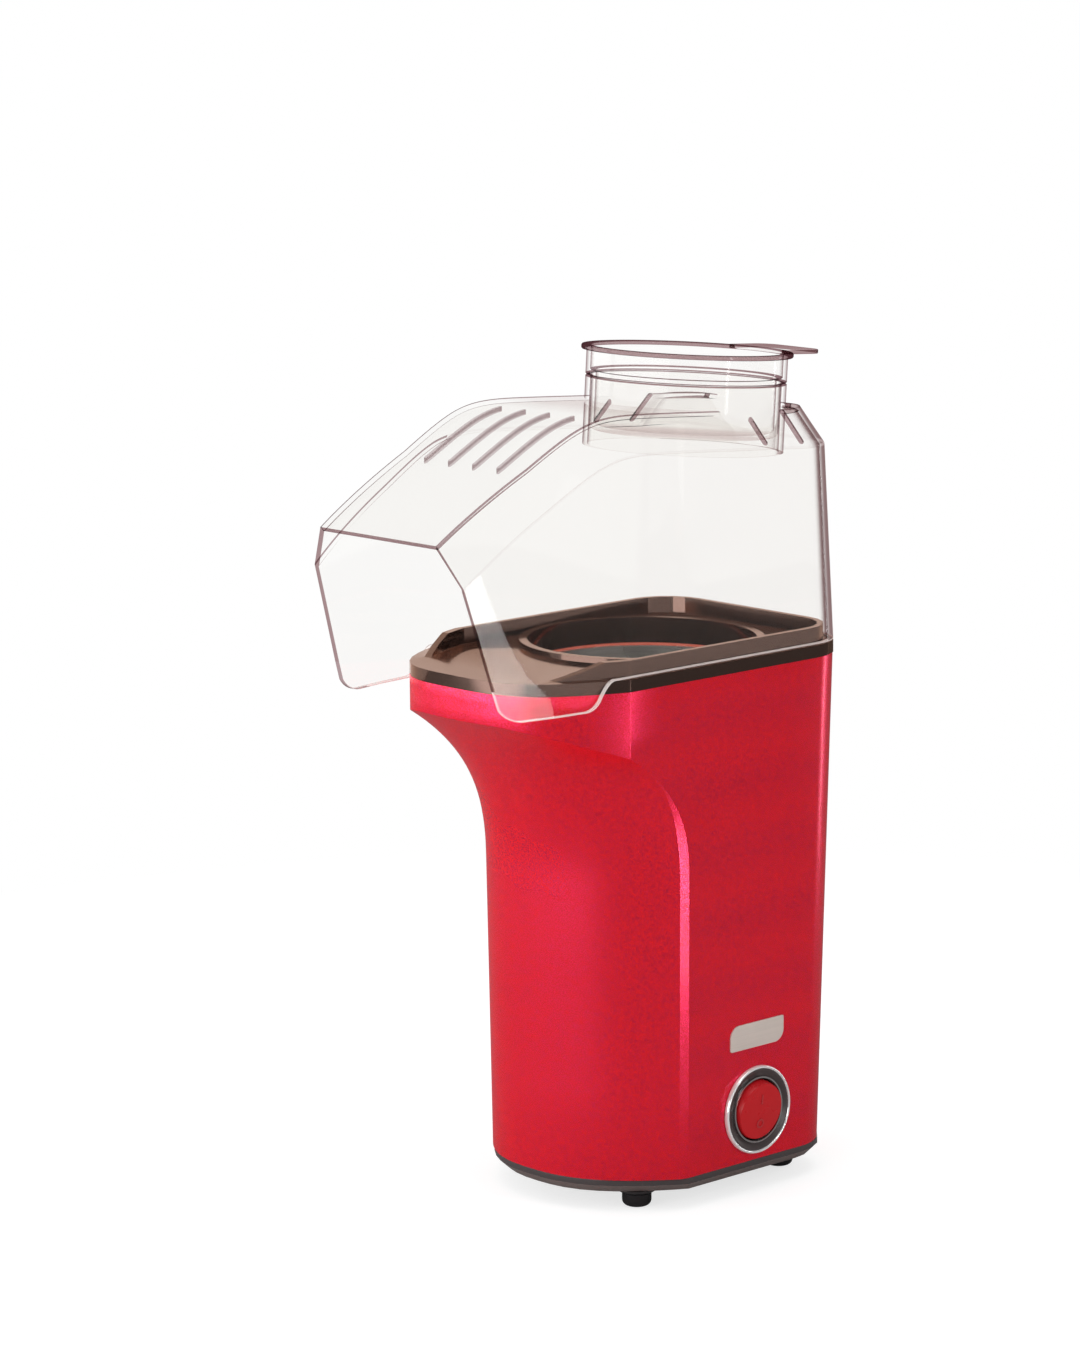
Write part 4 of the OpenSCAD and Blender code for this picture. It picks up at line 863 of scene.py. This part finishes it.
# ---- Popping chamber and air duct ----
# A drawn aluminium cup with slanted louvres hangs from the deck's collar over the heater.
# Galvanised sheet round it guides the air, and zinc-plated screws hold the parts together.
def metal(name, colour, roughness, brush, depth=0.01, metallic=1.0, drift=0.12):
    """Worked metal with patchy gloss: fine lines or grain, closer along an axis of large brush."""
    material, tree, shader = finish_of(name)
    where = put(tree, "ShaderNodeTexCoord").outputs["Object"]
    drawn = put(tree, "ShaderNodeMapping", Vector=where, Scale=brush).outputs[0]
    lines = put(tree, "ShaderNodeTexNoise", Vector=drawn, Scale=1.0, Detail=2.0).outputs["Fac"]
    patches = put(tree, "ShaderNodeTexNoise", Vector=where, Scale=35.0, Detail=3.0).outputs["Fac"]
    darker = (*[c * (1 - drift) for c in colour], 1)
    paler = (*[min(1.0, c * (1 + drift)) for c in colour], 1)
    shade = blend(tree, ramp(tree, lines, 0.2, 0.8, 0.0, 1.0), darker, paler)
    tree.links.new(shade, shader.inputs["Base Color"])
    gloss = ramp(tree, patches, 0.3, 0.7, roughness * 0.8, roughness * 1.25)
    tree.links.new(gloss, shader.inputs["Roughness"])
    raised(tree, shader, lines, depth)
    shader.inputs["Metallic"].default_value = metallic
    return material


drawn_aluminium = metal("drawn_aluminium", (0.72, 0.71, 0.69), 0.3, brush=(60.0, 60.0, 900.0))
sheet_steel = metal("galvanised_sheet", (0.52, 0.53, 0.54), 0.38, brush=(300.0, 300.0, 300.0))
zinc = metal("zinc_plate", (0.62, 0.62, 0.60), 0.3, brush=(900.0, 900.0, 900.0))
seal_rubber = moulded("silicone_seal", (0.50, 0.10, 0.06), 0.55, grain=600)
dress(drawn_aluminium, "popping_chamber")
dress(sheet_steel, "air_jacket", "heater_base", "thermostat_bracket", "motor_can")
dress(zinc, "base_screws", "duct_screws", "deck_screws", "motor_screws", "motor_shaft", "rocker_pin")
dress(seal_rubber, "chamber_seal")


# ---- Heater, fan and motor ----
# Resistance wire is coiled on crossed mica boards above the fan. A small direct-current motor
# below the fan turns it, and the leads run in glass-fibre sleeves.
mica_board = moulded("mica_board", (0.66, 0.60, 0.45), 0.5, grain=250, depth=0.03, drift=0.3)
coil_wire = metal("coil_wire", (0.32, 0.27, 0.24), 0.45, brush=(700.0, 700.0, 700.0))
phenolic = moulded("phenolic", (0.045, 0.036, 0.030), 0.5, grain=500, depth=0.02)
nylon = moulded("pale_nylon", (0.74, 0.70, 0.58), 0.45, grain=400)
fan_sheet = metal("fan_sheet", (0.70, 0.70, 0.68), 0.35, brush=(200.0, 200.0, 400.0))
copper_wire = metal("enamelled_copper", (0.70, 0.36, 0.20), 0.32, brush=(200.0, 200.0, 1600.0), depth=0.05)
ferrite = moulded("sintered_ferrite", (0.07, 0.07, 0.08), 0.65, grain=1200, depth=0.04)
carbon = moulded("brush_carbon", (0.03, 0.03, 0.03), 0.6, grain=1500, depth=0.02)
bronze = metal("bearing_bronze", (0.58, 0.42, 0.24), 0.42, brush=(800.0, 800.0, 800.0))
board_lacquer = moulded("board_lacquer", (0.10, 0.26, 0.09), 0.3, grain=300, drift=0.25)
brass = metal("tinned_brass", (0.74, 0.60, 0.36), 0.28, brush=(60.0, 900.0, 900.0))
wire_sleeve = moulded("glass_fibre_sleeve", (0.78, 0.78, 0.73), 0.7, grain=1800, depth=0.05)
dress(mica_board, "mica_frame")
dress(coil_wire, "heating_coil")
dress(phenolic, "thermostat", "fan_housing", "diodes", "switch_body")
dress(nylon, "thermal_fuse", "motor_end_cap")
dress(fan_sheet, "fan_wheel")
dress(copper_wire, "armature", "commutator")
dress(ferrite, "motor_magnets")
dress(carbon, "motor_brushes")
dress(bronze, "motor_bearings")
dress(board_lacquer, "rectifier_board")
dress(brass, "switch_terminals")
dress(wire_sleeve, "lead_wires")


# ---- Switch ----
# A round moulded rocker turns on a plated pin in a dark dished well, between two chromed trim
# rings. The well sits in the hole in the housing's side.
dish_black = moulded("dish_plastic", (0.045, 0.034, 0.034), 0.28, grain=500, depth=0.004)
polish = {"brush": (100.0, 100.0, 100.0), "depth": 0.001, "drift": 0.03}
# The outer ring is half a near-white matte: painted brightness standing in for the chrome's bright
# reflections.
chrome = metal("chrome_half_painted_white", (0.93, 0.93, 0.93), 0.14, metallic=0.5, **polish)
thin_chrome = metal("inner_chrome", (0.72, 0.70, 0.70), 0.12, **polish)
rocker_red = moulded("rocker_red", (0.42, 0.008, 0.012), 0.3, grain=600, depth=0.004,
                     rubbed=(0.42, 0.008, 0.012), Specular_IOR_Level=0.25)
mark_red = moulded("mark_red", (0.27, 0.006, 0.010), 0.3, grain=600, depth=0.002)
dress(dish_black, "switch_well")
dress(thin_chrome, "inner_ring")
refined("chrome_ring", chrome, "machine", round_off=0.25, angle=40)
refined("rocker", rocker_red, "rocker", round_off=0.5, angle=40, flat_first=False)
dress(mark_red, "rocker_marks")


# ---- Badge ----
# A thin blank plate in satin metal, brushed lengthways, with two opposite corners rounded.
# It is stuck on the housing above the switch.
badge_metal = metal("satin_badge", (0.62, 0.54, 0.49), 0.45, brush=(900.0, 30.0, 900.0), depth=0.004,
                    metallic=0.4, drift=0.05)
dress(badge_metal, "badge_plate")
